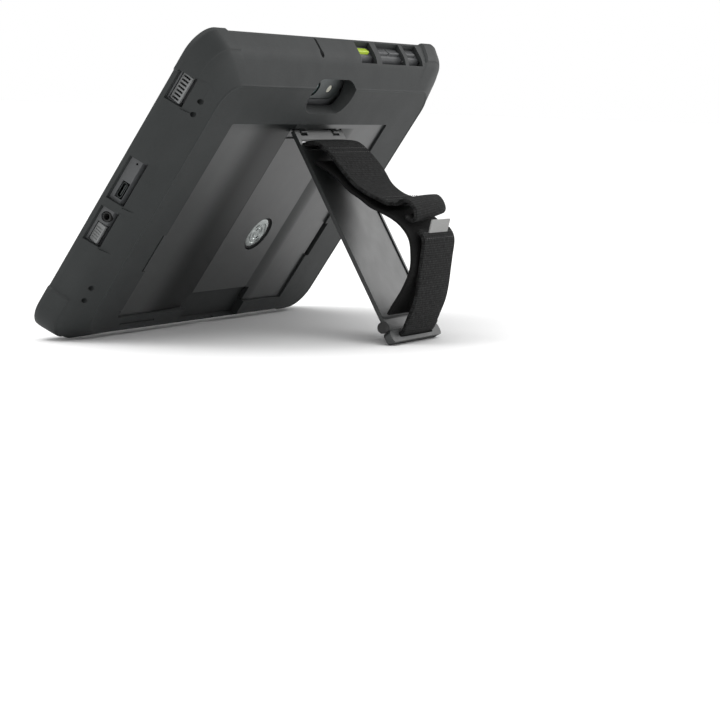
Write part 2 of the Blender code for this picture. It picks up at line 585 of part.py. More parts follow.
KEY_Z = 5.4 * MM
top_y = tab_side_y(KEY_Z)
KEYS = (("program_button", 34.5 * MM, 13 * MM, 4.2 * MM, LIME),
        ("volume_down_button", 58 * MM, 12.5 * MM, 4 * MM, HOUSE),
        ("volume_up_button", 72.2 * MM, 12.5 * MM, 4 * MM, HOUSE),
        ("power_button", 93.5 * MM, 11 * MM, 4 * MM, HOUSE))
KEY_OUT = 1.0 * MM
for name, x, w, h, mat in KEYS:
    cut(housing, slab("t", x - w / 2 - GAP, x + w / 2 + GAP, top_y - 4.5 * MM, top_y + 5 * MM,
                      KEY_Z - h / 2 - GAP, KEY_Z + h / 2 + GAP, collection=tools))
PORT_Z = 6.8 * MM
side_x = tab_side_x(PORT_Z)
USB_Y, JACK_Y = -2.0 * MM, -19.0 * MM
GRILLE_Y, GRILLE_Z = (53.8 * MM, 69.2 * MM), (3.9 * MM, 10.1 * MM)
DOOR_Y, DOOR_Z = (-34.2 * MM, -23.6 * MM), (4.4 * MM, 9.6 * MM)
cut(housing, slab("t", side_x - 3 * MM, side_x + 9 * MM, USB_Y - 4.9 * MM, USB_Y + 4.9 * MM,
                  PORT_Z - 2.05 * MM, PORT_Z + 2.05 * MM, collection=tools))
cut(housing, rod("t", (side_x + 2 * MM, JACK_Y, PORT_Z), "X", 2.9 * MM, 16 * MM, 24, tools))
cut(housing, rod("t", (side_x, 14.2 * MM, PORT_Z), "X", 0.6 * MM, 8 * MM, 8, tools))
cut(housing, slab("t", side_x - 3 * MM, side_x + 4 * MM, GRILLE_Y[0] - GAP, GRILLE_Y[1] + GAP,
                  GRILLE_Z[0] - GAP, GRILLE_Z[1] + GAP, collection=tools))
cut(housing, slab("t", side_x - 3 * MM, side_x + 4 * MM, DOOR_Y[0] - GAP, DOOR_Y[1] + GAP,
                  DOOR_Z[0] - GAP, DOOR_Z[1] + GAP, collection=tools))
MODULE_L, MODULE_H = 42 * MM, 14 * MM
cut(housing, pill("c", MODULE_L + 2 * GAP, MODULE_H + 2 * GAP, 8 * MM, 20 * MM))
SCREW_X, SCREW_Y = HX - 33.5 * MM, (HY - 43 * MM, -HY + 33 * MM)
SCREWS = ((-SCREW_X, SCREW_Y[0]), (SCREW_X, SCREW_Y[0]), (SCREW_X, SCREW_Y[1]), (-SCREW_X, SCREW_Y[1]))
for x, y in SCREWS:
    cut(housing, rod("t", (x, y, 12 * MM), "Z", 2.6 * MM, 4 * MM, 16, tools))
finish(housing, HOUSE, "tablet")

for name, x, w, h, mat in KEYS:
    key = slab(name, x - w / 2, x + w / 2, top_y - 2.4 * MM, top_y + KEY_OUT, KEY_Z - h / 2, KEY_Z + h / 2)
    soften(key, 0.35 * MM)
    finish(key, mat, name)

bezel = loft([tab_ring(TAB_Z0, 0.6 * MM), tab_ring(TAB_Z0 + 0.8 * MM), tab_ring(BEZEL_Z)], "front_bezel")
GLASS_X, GLASS_Y = HX - WALL - TAB_GAP - 8.5 * MM, HY - WALL - TAB_GAP - 8.5 * MM
cut(bezel, slab("t", -GLASS_X - GAP, GLASS_X + GAP, -GLASS_Y - GAP, GLASS_Y + GAP, -1 * MM, 9 * MM,
                4.3 * MM, 4, tools))
finish(bezel, HOUSE, "tablet")
glass = slab("cover_glass", -GLASS_X, GLASS_X, -GLASS_Y, GLASS_Y, TAB_Z0 + 0.2 * MM, TAB_Z0 + 1.3 * MM,
             4 * MM, 4)
finish(glass, GLASS, "tablet")
lcd = slab("display_module", -HX + 24.5 * MM, HX - 24.5 * MM, -HY + 21 * MM, HY - 21 * MM, 2.8 * MM,
           4.8 * MM, 1 * MM, 2)
finish(lcd, CELL, "tablet")
chassis = slab("chassis_plate", -HX + 19.5 * MM, HX - 19.5 * MM, -HY + 17 * MM, HY - 17 * MM, 5.1 * MM,
               5.9 * MM, 3 * MM, 2)
finish(chassis, METAL, "tablet")
battery = slab("battery", -60 * MM, 60 * MM, -HY + 27 * MM, -4 * MM, 6.2 * MM, 10.6 * MM, 2 * MM, 3)
finish(battery, CELL, "tablet")
board = slab("mainboard", -96 * MM, 70 * MM, 2 * MM, 44 * MM, 6.2 * MM, 7.4 * MM, 2 * MM, 2)
finish(board, BOARD, "tablet")
LENS_X, FLASH_X = CAM_X - 8 * MM, CAM_X + 9 * MM
camera = rod("rear_camera", (LENS_X, CAM_Y, 10.2 * MM), "Z", 4.2 * MM, 4.4 * MM, 28)
finish(camera, CELL, "tablet")
frame_ring = pill("camera_ring", MODULE_L, MODULE_H, 11.4 * MM, 14.0 * MM, collection=parts)
cut(frame_ring, rod("t", (LENS_X, CAM_Y, 12 * MM), "Z", 4.8 * MM, 10 * MM, 28, tools))
cut(frame_ring, rod("t", (FLASH_X, CAM_Y, 12 * MM), "Z", 2.6 * MM, 10 * MM, 20, tools))
finish(frame_ring, METAL, "tablet")
window = rod("camera_window", (LENS_X, CAM_Y, 13.2 * MM), "Z", 4.5 * MM, 0.8 * MM, 28)
finish(window, GLASS, "tablet")
flash = rod("flash_window", (FLASH_X, CAM_Y, 13.0 * MM), "Z", 2.3 * MM, 1.6 * MM, 20)
finish(flash, LENS, "tablet")
FRONT_CAM_Y = HY - 15.5 * MM
front_cam = rod("front_camera", (0, FRONT_CAM_Y, 4.1 * MM), "Z", 2.4 * MM, 2.4 * MM, 20)
finish(front_cam, CELL, "tablet")
cut(chassis, rod("t", (0, FRONT_CAM_Y, 5 * MM), "Z", 3 * MM, 8 * MM, 20, tools))

PROUD = 0.7 * MM           # how far grille, ports and door stand out of the housing
grille = slab("speaker_grille", side_x - PROUD, side_x + 1.5 * MM, *GRILLE_Y, *GRILLE_Z)
for k in range(7):
    y = GRILLE_Y[0] + (0.9 + k * 2.08) * MM
    cut(grille, slab("t", side_x - 3 * MM, side_x + 4 * MM, y, y + 1.1 * MM, GRILLE_Z[0] + 0.9 * MM,
                     GRILLE_Z[1] - 0.9 * MM, collection=tools))
finish(grille, HOUSE, "tablet")
for name, y0 in (("speaker_box_upper", HY - 43 * MM), ("speaker_box_lower", -HY + 27 * MM)):
    box = slab(name, -HX + 21.5 * MM, -HX + 38.5 * MM, y0 + 2 * MM, y0 + 20 * MM, 6.2 * MM, 9.4 * MM,
               1 * MM, 2)
    finish(box, CELL, "tablet")

SOCKET_L, SOCKET_H = 8.94 * MM, 3.2 * MM
usb = slab("usb_c_port", side_x - 0.1 * MM, side_x + 7 * MM, USB_Y - SOCKET_L / 2, USB_Y + SOCKET_L / 2,
           PORT_Z - SOCKET_H / 2, PORT_Z + SOCKET_H / 2)
soften(usb, 1.2 * MM, 3, 80)
cut(usb, slab("t", side_x - 1 * MM, side_x + 6 * MM, USB_Y - 4.0 * MM, USB_Y + 4.0 * MM,
              PORT_Z - 1.15 * MM, PORT_Z + 1.15 * MM, collection=tools))
tongue = slab("t2", side_x + 1 * MM, side_x + 6.4 * MM, USB_Y - 3.2 * MM, USB_Y + 3.2 * MM,
              PORT_Z - 0.3 * MM, PORT_Z + 0.3 * MM, collection=tools)
apply_boolean(usb, [tongue], "UNION")
finish(usb, METAL, "tablet")
jack = rod("audio_jack", (side_x + 3.6 * MM, JACK_Y, PORT_Z), "X", 2.6 * MM, 7.6 * MM, 24)
cut(jack, rod("t", (side_x, JACK_Y, PORT_Z), "X", 1.75 * MM, 12 * MM, 24, tools))
finish(jack, CELL, "tablet")
door = slab("card_door", side_x - PROUD, side_x + 1.5 * MM, *DOOR_Y, *DOOR_Z)
for k in range(5):
    y = DOOR_Y[0] + (1.0 + k * 1.5) * MM
    cut(door, slab("t", side_x - 2 * MM, side_x - PROUD + 0.4 * MM, y, y + 0.7 * MM, DOOR_Z[0] + 0.6 * MM,
                   DOOR_Z[1] - 0.6 * MM, collection=tools))
finish(door, HOUSE, "tablet")
keyboard = slab("button_board", 26 * MM, 100 * MM, HY - 16.0 * MM, HY - 14.6 * MM, 6.2 * MM, 8.8 * MM)
finish(keyboard, BOARD, "tablet")
motor = rod("vibration_motor", (90 * MM, -HY + 41 * MM, 7.6 * MM), "Z", 5 * MM, 2.6 * MM, 24)
finish(motor, METAL, "tablet")
for k, (x, y) in enumerate(SCREWS):
    screw = rod("housing_screw_%d" % (k + 1), (x, y, 11.1 * MM), "Z", 2.2 * MM, 1.5 * MM, 16)
    cut(screw, rod("t", (x, y, 12.4 * MM), "Z", 1.0 * MM, 2 * MM, 6, tools))
    finish(screw, METAL, "tablet")

# ================= standing pose =================
# ground runs from the bottom edge of the back to the foot of the open stand
theta = math.radians(OPEN_DEG)
stand_turn = Matrix.Translation(PIVOT) @ Matrix.Rotation(-theta, 4, "X")
foot_points = [stand_turn @ Vector((0, y, z)) for y in (-FOOT_END, -FOOT_END + 0.6 * MM)
               for z in (-FOOT_T / 2, FOOT_T / 2)]
cap_centre = stand_turn @ Vector((0, CAP_Y, 0))
case_points = [Vector((0, p.y, p.z)) for r in rings for p in r if p.y < 0]


def lowest_line():
    """Lean angle at which case and foot both touch the ground."""
    best = None
    for k in range(12000):
        lean = math.radians(35 + 36 * k / 12000)
        up = Vector((0, math.sin(lean), -math.cos(lean)))
        low_case = min(p.dot(up) for p in case_points)
        low_foot = min([p.dot(up) for p in foot_points] + [cap_centre.dot(up) - CAP_R])
        miss = abs(low_case - low_foot)
        if best is None or miss < best[0]:
            best = (miss, lean, min(low_case, low_foot))
    return best


miss, lean, low = lowest_line()
tilt = Matrix.Rotation(math.pi - lean, 4, "X")
world = Matrix.Translation((0, 0, -low)) @ tilt

for obj, body in finished:
    if body == "stand":
        obj.matrix_world = world @ stand_turn
    elif body in [k[0] for k in KEYS]:
        x = [k[1] for k in KEYS if k[0] == body][0]
        centre = Vector((x, top_y, KEY_Z))
        obj.data.transform(Matrix.Translation(-centre))
        obj.matrix_world = world @ Matrix.Translation(centre)
    else:
        obj.matrix_world = world

# centre the footprint on the origin
bpy.context.view_layer.update()
lows, highs = Vector((9, 9, 9)), Vector((-9, -9, -9))
for obj, body in finished:
    for v in obj.data.vertices:
        q = obj.matrix_world @ v.co
        for i in range(3):
            lows[i] = min(lows[i], q[i])
            highs[i] = max(highs[i], q[i])
shift = Vector((-(lows.x + highs.x) / 2, -(lows.y + highs.y) / 2, -lows.z))
for obj, body in finished:
    obj.matrix_world = Matrix.Translation(shift) @ obj.matrix_world
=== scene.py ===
import math

import bmesh
import bpy
from mathutils import Matrix, Vector


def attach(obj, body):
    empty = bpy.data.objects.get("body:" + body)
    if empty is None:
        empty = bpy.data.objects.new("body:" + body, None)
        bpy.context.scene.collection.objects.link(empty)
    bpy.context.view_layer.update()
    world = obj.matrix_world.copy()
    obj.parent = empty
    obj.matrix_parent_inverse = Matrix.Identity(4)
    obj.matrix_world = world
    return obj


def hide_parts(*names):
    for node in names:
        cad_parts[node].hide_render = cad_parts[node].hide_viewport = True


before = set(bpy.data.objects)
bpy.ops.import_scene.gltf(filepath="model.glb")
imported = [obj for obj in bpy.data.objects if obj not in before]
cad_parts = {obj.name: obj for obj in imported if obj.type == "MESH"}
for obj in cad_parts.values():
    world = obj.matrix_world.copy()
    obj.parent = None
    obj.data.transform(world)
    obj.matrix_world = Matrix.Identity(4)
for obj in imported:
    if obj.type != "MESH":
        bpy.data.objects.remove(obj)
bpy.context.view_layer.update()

# ---------------- camera ----------------
# A long lens looks at the back of the leaning tablet from its port side, a hand's width above the table.
camera = bpy.data.objects.new("camera", bpy.data.cameras.new("camera"))
bpy.context.scene.collection.objects.link(camera)
bpy.context.scene.camera = camera
camera.data.lens = 112.8
camera.data.clip_end = 60
right = Vector((0.463979, -0.885248, 0.032555))
forward = Vector((0.881342, 0.457607, -0.117610))
turn = Matrix((right, -forward.cross(right), -forward)).transposed()
camera.matrix_world = Matrix.Translation((-1.10641, -0.616725, 0.13563)) @ turn.to_4x4()

# ---------------- table and light ----------------
# A wide matt white table in a bright white room, lit softly from overhead. A lamp high on the port side
# brightens the edges of the case, and a soft box beyond the strap shines along the stand plate.
bpy.context.scene.view_settings.view_transform = "Standard"
world = bpy.data.worlds.new("room")
bpy.context.scene.world = world
world.use_nodes = True
room = world.node_tree
room.nodes["Background"].inputs["Color"].default_value = (1, 1, 1, 1)
seen = room.nodes.new("ShaderNodeLightPath").outputs["Is Camera Ray"]
dim = room.nodes.new("ShaderNodeMapRange")
dim.inputs["To Min"].default_value = 0.72
dim.inputs["To Max"].default_value = 1.0
room.links.new(seen, dim.inputs["Value"])
room.links.new(dim.outputs["Result"], room.nodes["Background"].inputs["Strength"])


def aim(lamp_object, at):
    bpy.context.scene.collection.objects.link(lamp_object)
    lamp_object.location = at
    lamp_object.rotation_euler = (Vector((0, 0, 0.08)) - Vector(at)).to_track_quat("-Z", "Y").to_euler()


overhead = bpy.data.lights.new("overhead", "SUN")
overhead.energy = 1.5
overhead.angle = math.radians(70)
aim(bpy.data.objects.new("overhead", overhead), (-0.4, 0.3, 2.0))
for name, at, size, power in (("key", (-0.7, 0.5, 1.3), 0.7, 5.0), ("soft_box", (1.45, -0.6, 0.6), 0.8, 5.0)):
    lamp = bpy.data.lights.new(name, "AREA")
    lamp.energy = power
    lamp.size = size
    aim(bpy.data.objects.new(name, lamp), at)
bm = bmesh.new()
bmesh.ops.create_circle(bm, cap_ends=True, segments=96, radius=14.0)
floor_mesh = bpy.data.meshes.new("table")
bm.to_mesh(floor_mesh)
bm.free()
floor = bpy.data.objects.new("table", floor_mesh)
bpy.context.scene.collection.objects.link(floor)
table_top = bpy.data.materials.new("table_top")
table_top.use_nodes = True
table_top.node_tree.nodes["Principled BSDF"].inputs["Base Color"].default_value = (0.96, 0.96, 0.96, 1)
table_top.node_tree.nodes["Principled BSDF"].inputs["Roughness"].default_value = 0.85
table_top.node_tree.nodes["Principled BSDF"].inputs["Specular IOR Level"].default_value = 0.2
floor_mesh.materials.append(table_top)

# ---------------- case shell ----------------
# The soft case is one injection moulding in matt black thermoplastic rubber: a tray with leaning walls,
# a sloping shoulder up to the flat back, thicker bumpers at the corners, and windows over keys and ports.
MM = 0.001
LEAN = math.radians(57.026)
CASE = Matrix.Translation((0, 0.0343, 0.08736)) @ Matrix.Rotation(math.pi - LEAN, 4, "X")
GAP = 0.3 * MM
CASE_W, CASE_H, CASE_D = 275 * MM, 186 * MM, 22 * MM
HX, HY = CASE_W / 2, CASE_H / 2
WALL, FLOOR_Z, RAMP_Z, FIN_T = 2 * MM, 15.9 * MM, 11 * MM, 1.2 * MM
BUMPER_L, BUMPER_RAMP = 24 * MM, 1.2 * MM
PANEL_X, PANEL_Y = (-92 * MM, 84 * MM), (-77 * MM, 49.5 * MM)
PANEL_Z0, PANEL_Z1, TROUGH_Z = FLOOR_Z + 1.3 * MM, 20.6 * MM, 18.9 * MM
PIVOT = Vector((8.4, 43.3, 20.4)) * MM
PLATE_W, FOOT_END, CAP_L = 56 * MM, 129.4 * MM, 3.4 * MM
STAND = CASE @ Matrix.Translation(PIVOT) @ Matrix.Rotation(math.radians(-63.5), 4, "X")
TOP_WINDOWS = ((25, 43.5), (50, 80), (84.5, 102.5))
LEFT_WINDOWS = ((53, 70), (-9, 17.2), (-35, -13.8))
CAM_X, CAM_Y = -3.5 * MM, 68.2 * MM


class Field:
    """A value, colour or vector that varies over a surface, so that patterns are sums and products."""

    def __init__(self, tree, socket):
        self.tree, self.socket = tree, socket

    def add(self, kind, inputs, out=0, **settings):
        """Another node fed by these inputs; gives one of its outputs."""
        node = self.tree.nodes.new("ShaderNode" + kind)
        for key, value in settings.items():
            setattr(node, key, value)
        for key, value in inputs.items():
            if isinstance(value, Field):
                self.tree.links.new(value.socket, node.inputs[key])
            else:
                node.inputs[key].default_value = value
        return Field(self.tree, node.outputs[out])

    def calc(self, op, a, b=0.0):
        wide = any(isinstance(v, tuple) or (isinstance(v, Field) and v.socket.type == "VECTOR") for v in (a, b))
        if wide:
            a, b = [(v,) * 3 if isinstance(v, (int, float)) else v for v in (a, b)]
        return self.add("VectorMath" if wide else "Math", {0: a, 1: b}, operation=op)

    def __add__(self, o): return self.calc("ADD", self, o)
    def __radd__(self, o): return self.calc("ADD", o, self)
    def __sub__(self, o): return self.calc("SUBTRACT", self, o)
    def __rsub__(self, o): return self.calc("SUBTRACT", o, self)
    def __mul__(self, o): return self.calc("MULTIPLY", self, o)
    def __rmul__(self, o): return self.calc("MULTIPLY", o, self)
    def __pow__(self, o): return self.calc("POWER", self, o)

    def axis(self, k):
        return self.add("SeparateXYZ", {0: self}, out=k)

    def sine(self):
        return self.calc("SINE", self)

    def ramp(self, low, high, a=0.0, b=1.0):
        """Runs from a to b as the value goes from low to high, and stays there outside."""
        return self.add("MapRange", {0: self, 1: low, 2: high, 3: a, 4: b}, interpolation_type="SMOOTHSTEP")

    def noise(self, scale, detail=3.0):
        return self.add("TexNoise", {"Vector": self, "Scale": scale, "Detail": detail})

    def blend(self, a, b):
        """Colour a where this is 0 and b where it is 1."""
        a, b = [(*v, 1.0) if isinstance(v, tuple) and len(v) == 3 else v for v in (a, b)]
        return self.add("Mix", {0: self, 6: a, 7: b}, out=2, data_type="RGBA")


def surface(name, turn, color, rough, height=None, depth=0.05, metal=0.0, coat=0.0, spec=0.5, sheen=0.0,
            uv=False):
    """Material whose color, rough and height are constants or functions of place p, in mm in that frame."""
    mat = bpy.data.materials.new(name)
    mat.use_nodes = True
    tree = mat.node_tree
    shader = tree.nodes["Principled BSDF"]
    start = tree.nodes.new("ShaderNodeTexCoord")
    if uv:
        p = Field(tree, start.outputs["UV"]) * 1000.0
    else:
        p = Field(tree, start.outputs["Object"])
        p = p.add("Mapping", {"Vector": p, "Location": turn.translation, "Rotation": turn.to_euler()},
                  vector_type="TEXTURE") * 1000.0
    for socket, value in (("Base Color", color), ("Roughness", rough), ("Metallic", metal),
                          ("Coat Weight", coat)):
        value = value(p) if callable(value) else value
        if isinstance(value, Field):
            tree.links.new(value.socket, shader.inputs[socket])
        else:
            shader.inputs[socket].default_value = (*value, 1) if isinstance(value, tuple) else value
    shader.inputs["Specular IOR Level"].default_value = spec
    shader.inputs["Sheen Weight"].default_value = sheen
    shader.inputs["Coat Roughness"].default_value = 0.12
    if height:
        bump = p.add("Bump", {"Height": height(p), "Distance": depth * MM, "Strength": 1.0})
        tree.links.new(bump.socket, shader.inputs["Normal"])
    return mat


def new_object(name, bm):
    bmesh.ops.remove_doubles(bm, verts=bm.verts, dist=1e-7)
    bmesh.ops.recalc_face_normals(bm, faces=bm.faces)
    mesh = bpy.data.meshes.new(name)
    bm.to_mesh(mesh)
    bm.free()
    obj = bpy.data.objects.new(name, mesh)
    bpy.context.scene.collection.objects.link(obj)
    return obj


def rounded_ring(x0, x1, y0, y1, r, z, steps=12):
    """Points of a rounded rectangle at height z, counter-clockwise."""
    pts = []
    for cx, cy, a0 in ((x1 - r, y1 - r, 0), (x0 + r, y1 - r, 90), (x0 + r, y0 + r, 180), (x1 - r, y0 + r, 270)):
        for k in range(steps + 1):
            a = math.radians(a0 + 90 * k / steps)
            pts.append(Vector((cx + r * math.cos(a), cy + r * math.sin(a), z)))
    return pts


def loft(rings, name):
    """Closed body through rings of equal count."""
    bm = bmesh.new()
    rows = [[bm.verts.new(p) for p in ring] for ring in rings]
    for a, b in zip(rows, rows[1:]):
        for i in range(len(a)):
            j = (i + 1) % len(a)
            bm.faces.new((a[i], a[j], b[j], b[i]))
    bm.faces.new(rows[0][::-1])
    bm.faces.new(rows[-1])
    return new_object(name, bm)


def slab(name, x0, x1, y0, y1, z0, z1, r=0.0, steps=8):
    if r > 0:
        return loft([rounded_ring(x0, x1, y0, y1, r, z, steps) for z in (z0, z1)], name)
    bm = bmesh.new()
    bmesh.ops.create_cube(bm, size=1.0)
    bmesh.ops.scale(bm, vec=(x1 - x0, y1 - y0, z1 - z0), verts=bm.verts)
    bmesh.ops.translate(bm, vec=((x0 + x1) / 2, (y0 + y1) / 2, (z0 + z1) / 2), verts=bm.verts)
    return new_object(name, bm)


def rod(name, centre, axis, radius, length, segments=48):
    bm = bmesh.new()
    bmesh.ops.create_cone(bm, cap_ends=True, segments=segments, radius1=radius, radius2=radius, depth=length)
    way = {"X": Matrix.Rotation(math.pi / 2, 4, "Y"), "Y": Matrix.Rotation(-math.pi / 2, 4, "X"),
           "Z": Matrix.Identity(4)}[axis]
    bmesh.ops.transform(bm, matrix=Matrix.Translation(centre) @ way, verts=bm.verts)
    return new_object(name, bm)


def lathe(name, profile, centre, axis="Z", steps=64, closed=False):
    """Turned body from (radius, height) points in mm."""
    bm = bmesh.new()
    pts = [bm.verts.new((r * MM, 0, h * MM)) for r, h in profile]
    edges = [bm.edges.new(pair) for pair in zip(pts, pts[1:] + pts[:1] if closed else pts[1:])]
    bmesh.ops.spin(bm, geom=pts + edges, cent=(0, 0, 0), axis=(0, 0, 1), angle=2 * math.pi, steps=steps,
                   use_merge=True)
    way = Matrix.Rotation(math.pi / 2, 4, "Y") if axis == "X" else Matrix.Identity(4)
    bmesh.ops.transform(bm, matrix=Matrix.Translation(centre) @ way, verts=bm.verts)
    return new_object(name, bm)


def apply_modifiers(target):
    target.data = bpy.data.meshes.new_from_object(
        target.evaluated_get(bpy.context.evaluated_depsgraph_get()))
    target.modifiers.clear()


SLIVER = 0.002 * MM


def cut(target, other, operation="DIFFERENCE"):
    """Takes the other body out of the target, or joins it on, and clears the slivers that leaves."""
    mod = target.modifiers.new("cut", "BOOLEAN")
    mod.operation = operation
    mod.solver = "EXACT"
    mod.object = other
    apply_modifiers(target)
    bpy.data.objects.remove(other, do_unlink=True)
    bm = bmesh.new()
    bm.from_mesh(target.data)
    bmesh.ops.remove_doubles(bm, verts=bm.verts, dist=SLIVER)
    bmesh.ops.dissolve_degenerate(bm, edges=bm.edges, dist=SLIVER)
    bm.to_mesh(target.data)
    bm.free()
    return target


def bevel(target, width, segments=2, angle=40):
    """Rounds the sharp edges and applies it."""
    mod = target.modifiers.new("edge", "BEVEL")
    mod.width = width * MM
    mod.segments = segments
    mod.limit_method = "ANGLE"
    mod.angle_limit = math.radians(angle)
    apply_modifiers(target)
    return target


def finish(obj, mat, body, slot, *nodes, turn=CASE, sharp=40, weighted=True):
    """Sets the piece in place in its material on its body, standing for the solids named."""
    obj.data.transform(turn)
    obj.data.materials.clear()
    obj.data.materials.append(mat)
    obj.data.shade_smooth()
    obj.data.set_sharp_from_angle(angle=math.radians(sharp))
    if weighted:
        obj.modifiers.new("normals", "WEIGHTED_NORMAL").keep_sharp = True
    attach(obj, body)
    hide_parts(*nodes)
    return obj


def rounded_path(points, radii, steps=6):
    """Polyline whose inner corners are rounded."""
    out = [points[0]]
    for a, b, c, r in zip(points, points[1:], points[2:], radii):
        a, b, c = Vector(a), Vector(b), Vector(c)
        p, q = b + (a - b).normalized() * r, b + (c - b).normalized() * r
        for k in range(steps + 1):
            t = k / steps
            out.append(tuple(p * (1 - t) ** 2 + b * 2 * t * (1 - t) + q * t * t))
    return out + [points[-1]]


def side_inset(z):
    """How far the inside of the left, right and top walls leans in at depth z."""
    z = z / MM
    return (4.5 * z / 13 if z <= 13 else 4.5 + 15 * (z - 13) / 9) * MM


STEP_Z, STEP_T, RIDGE = 12.4, 0.25, 19.3


def bumper(z):
    """How far a corner bumper stands out at height z, both in mm."""
    marks = ((-1, 0.8), (0, 0.9), (1, 1.4), (STEP_Z, 1.4), (STEP_Z + STEP_T, 0.7), (17, 0.4), (20.5, 0.1),
             (30, 0))
    for (z0, b0), (z1, b1) in zip(marks, marks[1:]):
        if z <= z1:
            return b0 + (b1 - b0) * (z - z0) / (z1 - z0)
    return 0.0


def outer_ring(inset, z):
    """Outline of the shell at one height: rounded corners, each standing proud as a bumper."""
    rise = 22 if inset > RIDGE else z
    low = 0.25 * max(0, 1 - z) if z <= 15 else 7 * ((rise - 15) / 7) ** 1.6 + max(0, inset - RIDGE)
    e, low, bump, r, z = inset * MM, low * MM, bumper(z) * MM, 14 * MM, z * MM
    x0, x1, y0, y1 = -HX + e, HX - e, -HY + low, HY - e
    pts = []
    for k, (cx, cy, sx, sy) in enumerate(((x1, y1, 1, 1), (x0, y1, -1, 1), (x0, y0, -1, -1), (x1, y0, 1, -1))):
        lead = Vector((0, -sy, 0)) if k % 2 == 0 else Vector((-sx, 0, 0))
        trail = Vector((-sx, 0, 0)) if k % 2 == 0 else Vector((0, -sy, 0))
        corner = Vector((cx, cy, z))
        pts.append(corner + lead * (BUMPER_L + BUMPER_RAMP))
        pts.append(corner + lead * BUMPER_L - trail * bump)
        mid = corner + (lead + trail) * r
        for j in range(19):
            a = math.radians(5 * j)
            pts.append(mid - trail * (r + bump) * math.cos(a) - lead * (r + bump) * math.sin(a))
        pts.append(corner + trail * BUMPER_L - lead * bump)
        pts.append(corner + trail * (BUMPER_L + BUMPER_RAMP))
    return pts


wall_line = rounded_path([(0.55, 0.0), (0.0, 0.6), (0.1, 3.0), (4.5, 13.0), (18.9, 21.5), (19.3, 22.0),
                          (20.1, 22.0), (20.4, 21.8)], [0.45, 0.5, 4.5, 0.15, 0.2, 0.2])
for z in (STEP_Z, STEP_Z + STEP_T):
    k = next(i for i, (_, height) in enumerate(wall_line) if height > z)
    (e0, z0), (e1, z1) = wall_line[k - 1], wall_line[k]
    wall_line.insert(k, (e0 + (e1 - e0) * (z - z0) / (z1 - z0), z))
shell = loft([outer_ring(e, z) for e, z in wall_line], "case_moulding")


def cavity_ring(z, extra):
    e = side_inset(z) + WALL + extra
    return rounded_ring(-HX + e, HX - e, -HY + WALL + extra, HY - e, 12 * MM + extra * 0.6, z, 12)


cavity = loft([cavity_ring(-1 * MM, 0), cavity_ring(0, 0), cavity_ring(RAMP_Z, 0),
               cavity_ring(14.2 * MM, 14 * MM), cavity_ring(FLOOR_Z, 22 * MM)], "cavity")


def fin(foot, head):
    """Thin wedge rib from the wall to the edge of the floor."""
    s = (head - foot).normalized().cross(Vector((0, 0, -1))) * (FIN_T / 2)
    top = FLOOR_Z + 2.4 * MM
    ends = []
    for p, low in ((foot, RAMP_Z + 0.5 * MM), (head, 14.9 * MM)):
        ends.append([p + s * k + Vector((0, 0, z)) for k, z in ((-1, low), (1, low), (1, top), (-1, top))])
    return loft(ends, "fin")


for side in (-1, 1):
    for k in range(7):
        y = (-66 + 22 * k) * MM
        if side < 0 or abs(y) > 0:
            cut(cavity, fin(Vector((side * (HX - 4 * MM), y, 0)), Vector((side * (HX - 27 * MM), y * 0.72, 0))))
    for k in range(9):
        x = (-108 + 27 * k) * MM
        if side < 0 or abs(x - CAM_X) > 30 * MM:
            y = side * (HY - WALL - (6 if side > 0 else 1) * MM)
            cut(cavity, fin(Vector((x, y, 0)), Vector((x * 0.8, side * (HY - 25 * MM), 0))))
cut(shell, cavity)
for x0, x1 in TOP_WINDOWS:
    cut(shell, slab("w", x0 * MM, x1 * MM, HY - 12 * MM, HY + 3 * MM, 2.4 * MM, 14 * MM))
for y0, y1 in LEFT_WINDOWS:
    cut(shell, slab("w", -HX - 3 * MM, -HX + 8 * MM, y0 * MM, y1 * MM, 3 * MM, 12 * MM))
    scoop = ((-3, 11.7), (5.0, 11.7), (11.2, 17.1), (11.2, 25), (-3, 25))
    cut(shell, loft([[Vector((e * MM - HX, y * MM, z * MM)) for e, z in scoop] for y in (y0 - 1, y1 + 1)], "w"))
cut(shell, slab("s", -21.1 * MM, -18.9 * MM, HY - 12 * MM, HY + 3 * MM, 2 * MM, 11 * MM))
cut(shell, rod("s", (-20 * MM, HY - 5 * MM, 11 * MM), "Y", 1.9 * MM, 14 * MM, 24))
for y in (59.8, 52, -58.4, -66.3):
    cut(shell, rod("h", (-HX + 11 * MM, y * MM, 17 * MM), "Z", 1.5 * MM, 14 * MM, 24))


def pill(name, length, height, z0, z1, grow=0.0, steps=16):
    """Bar with round ends about the camera, wider by grow at z1; sizes in mm."""
    ends = []
    for z, more in ((z0, 0.0), (z1, grow)):
        half_l, half_h = (length / 2 + more) * MM, (height / 2 + more) * MM
        ends.append(rounded_ring(CAM_X - half_l, CAM_X + half_l, CAM_Y - half_h, CAM_Y + half_h,
                                 half_h - 1e-5, z * MM, steps))
    return loft(ends, name)


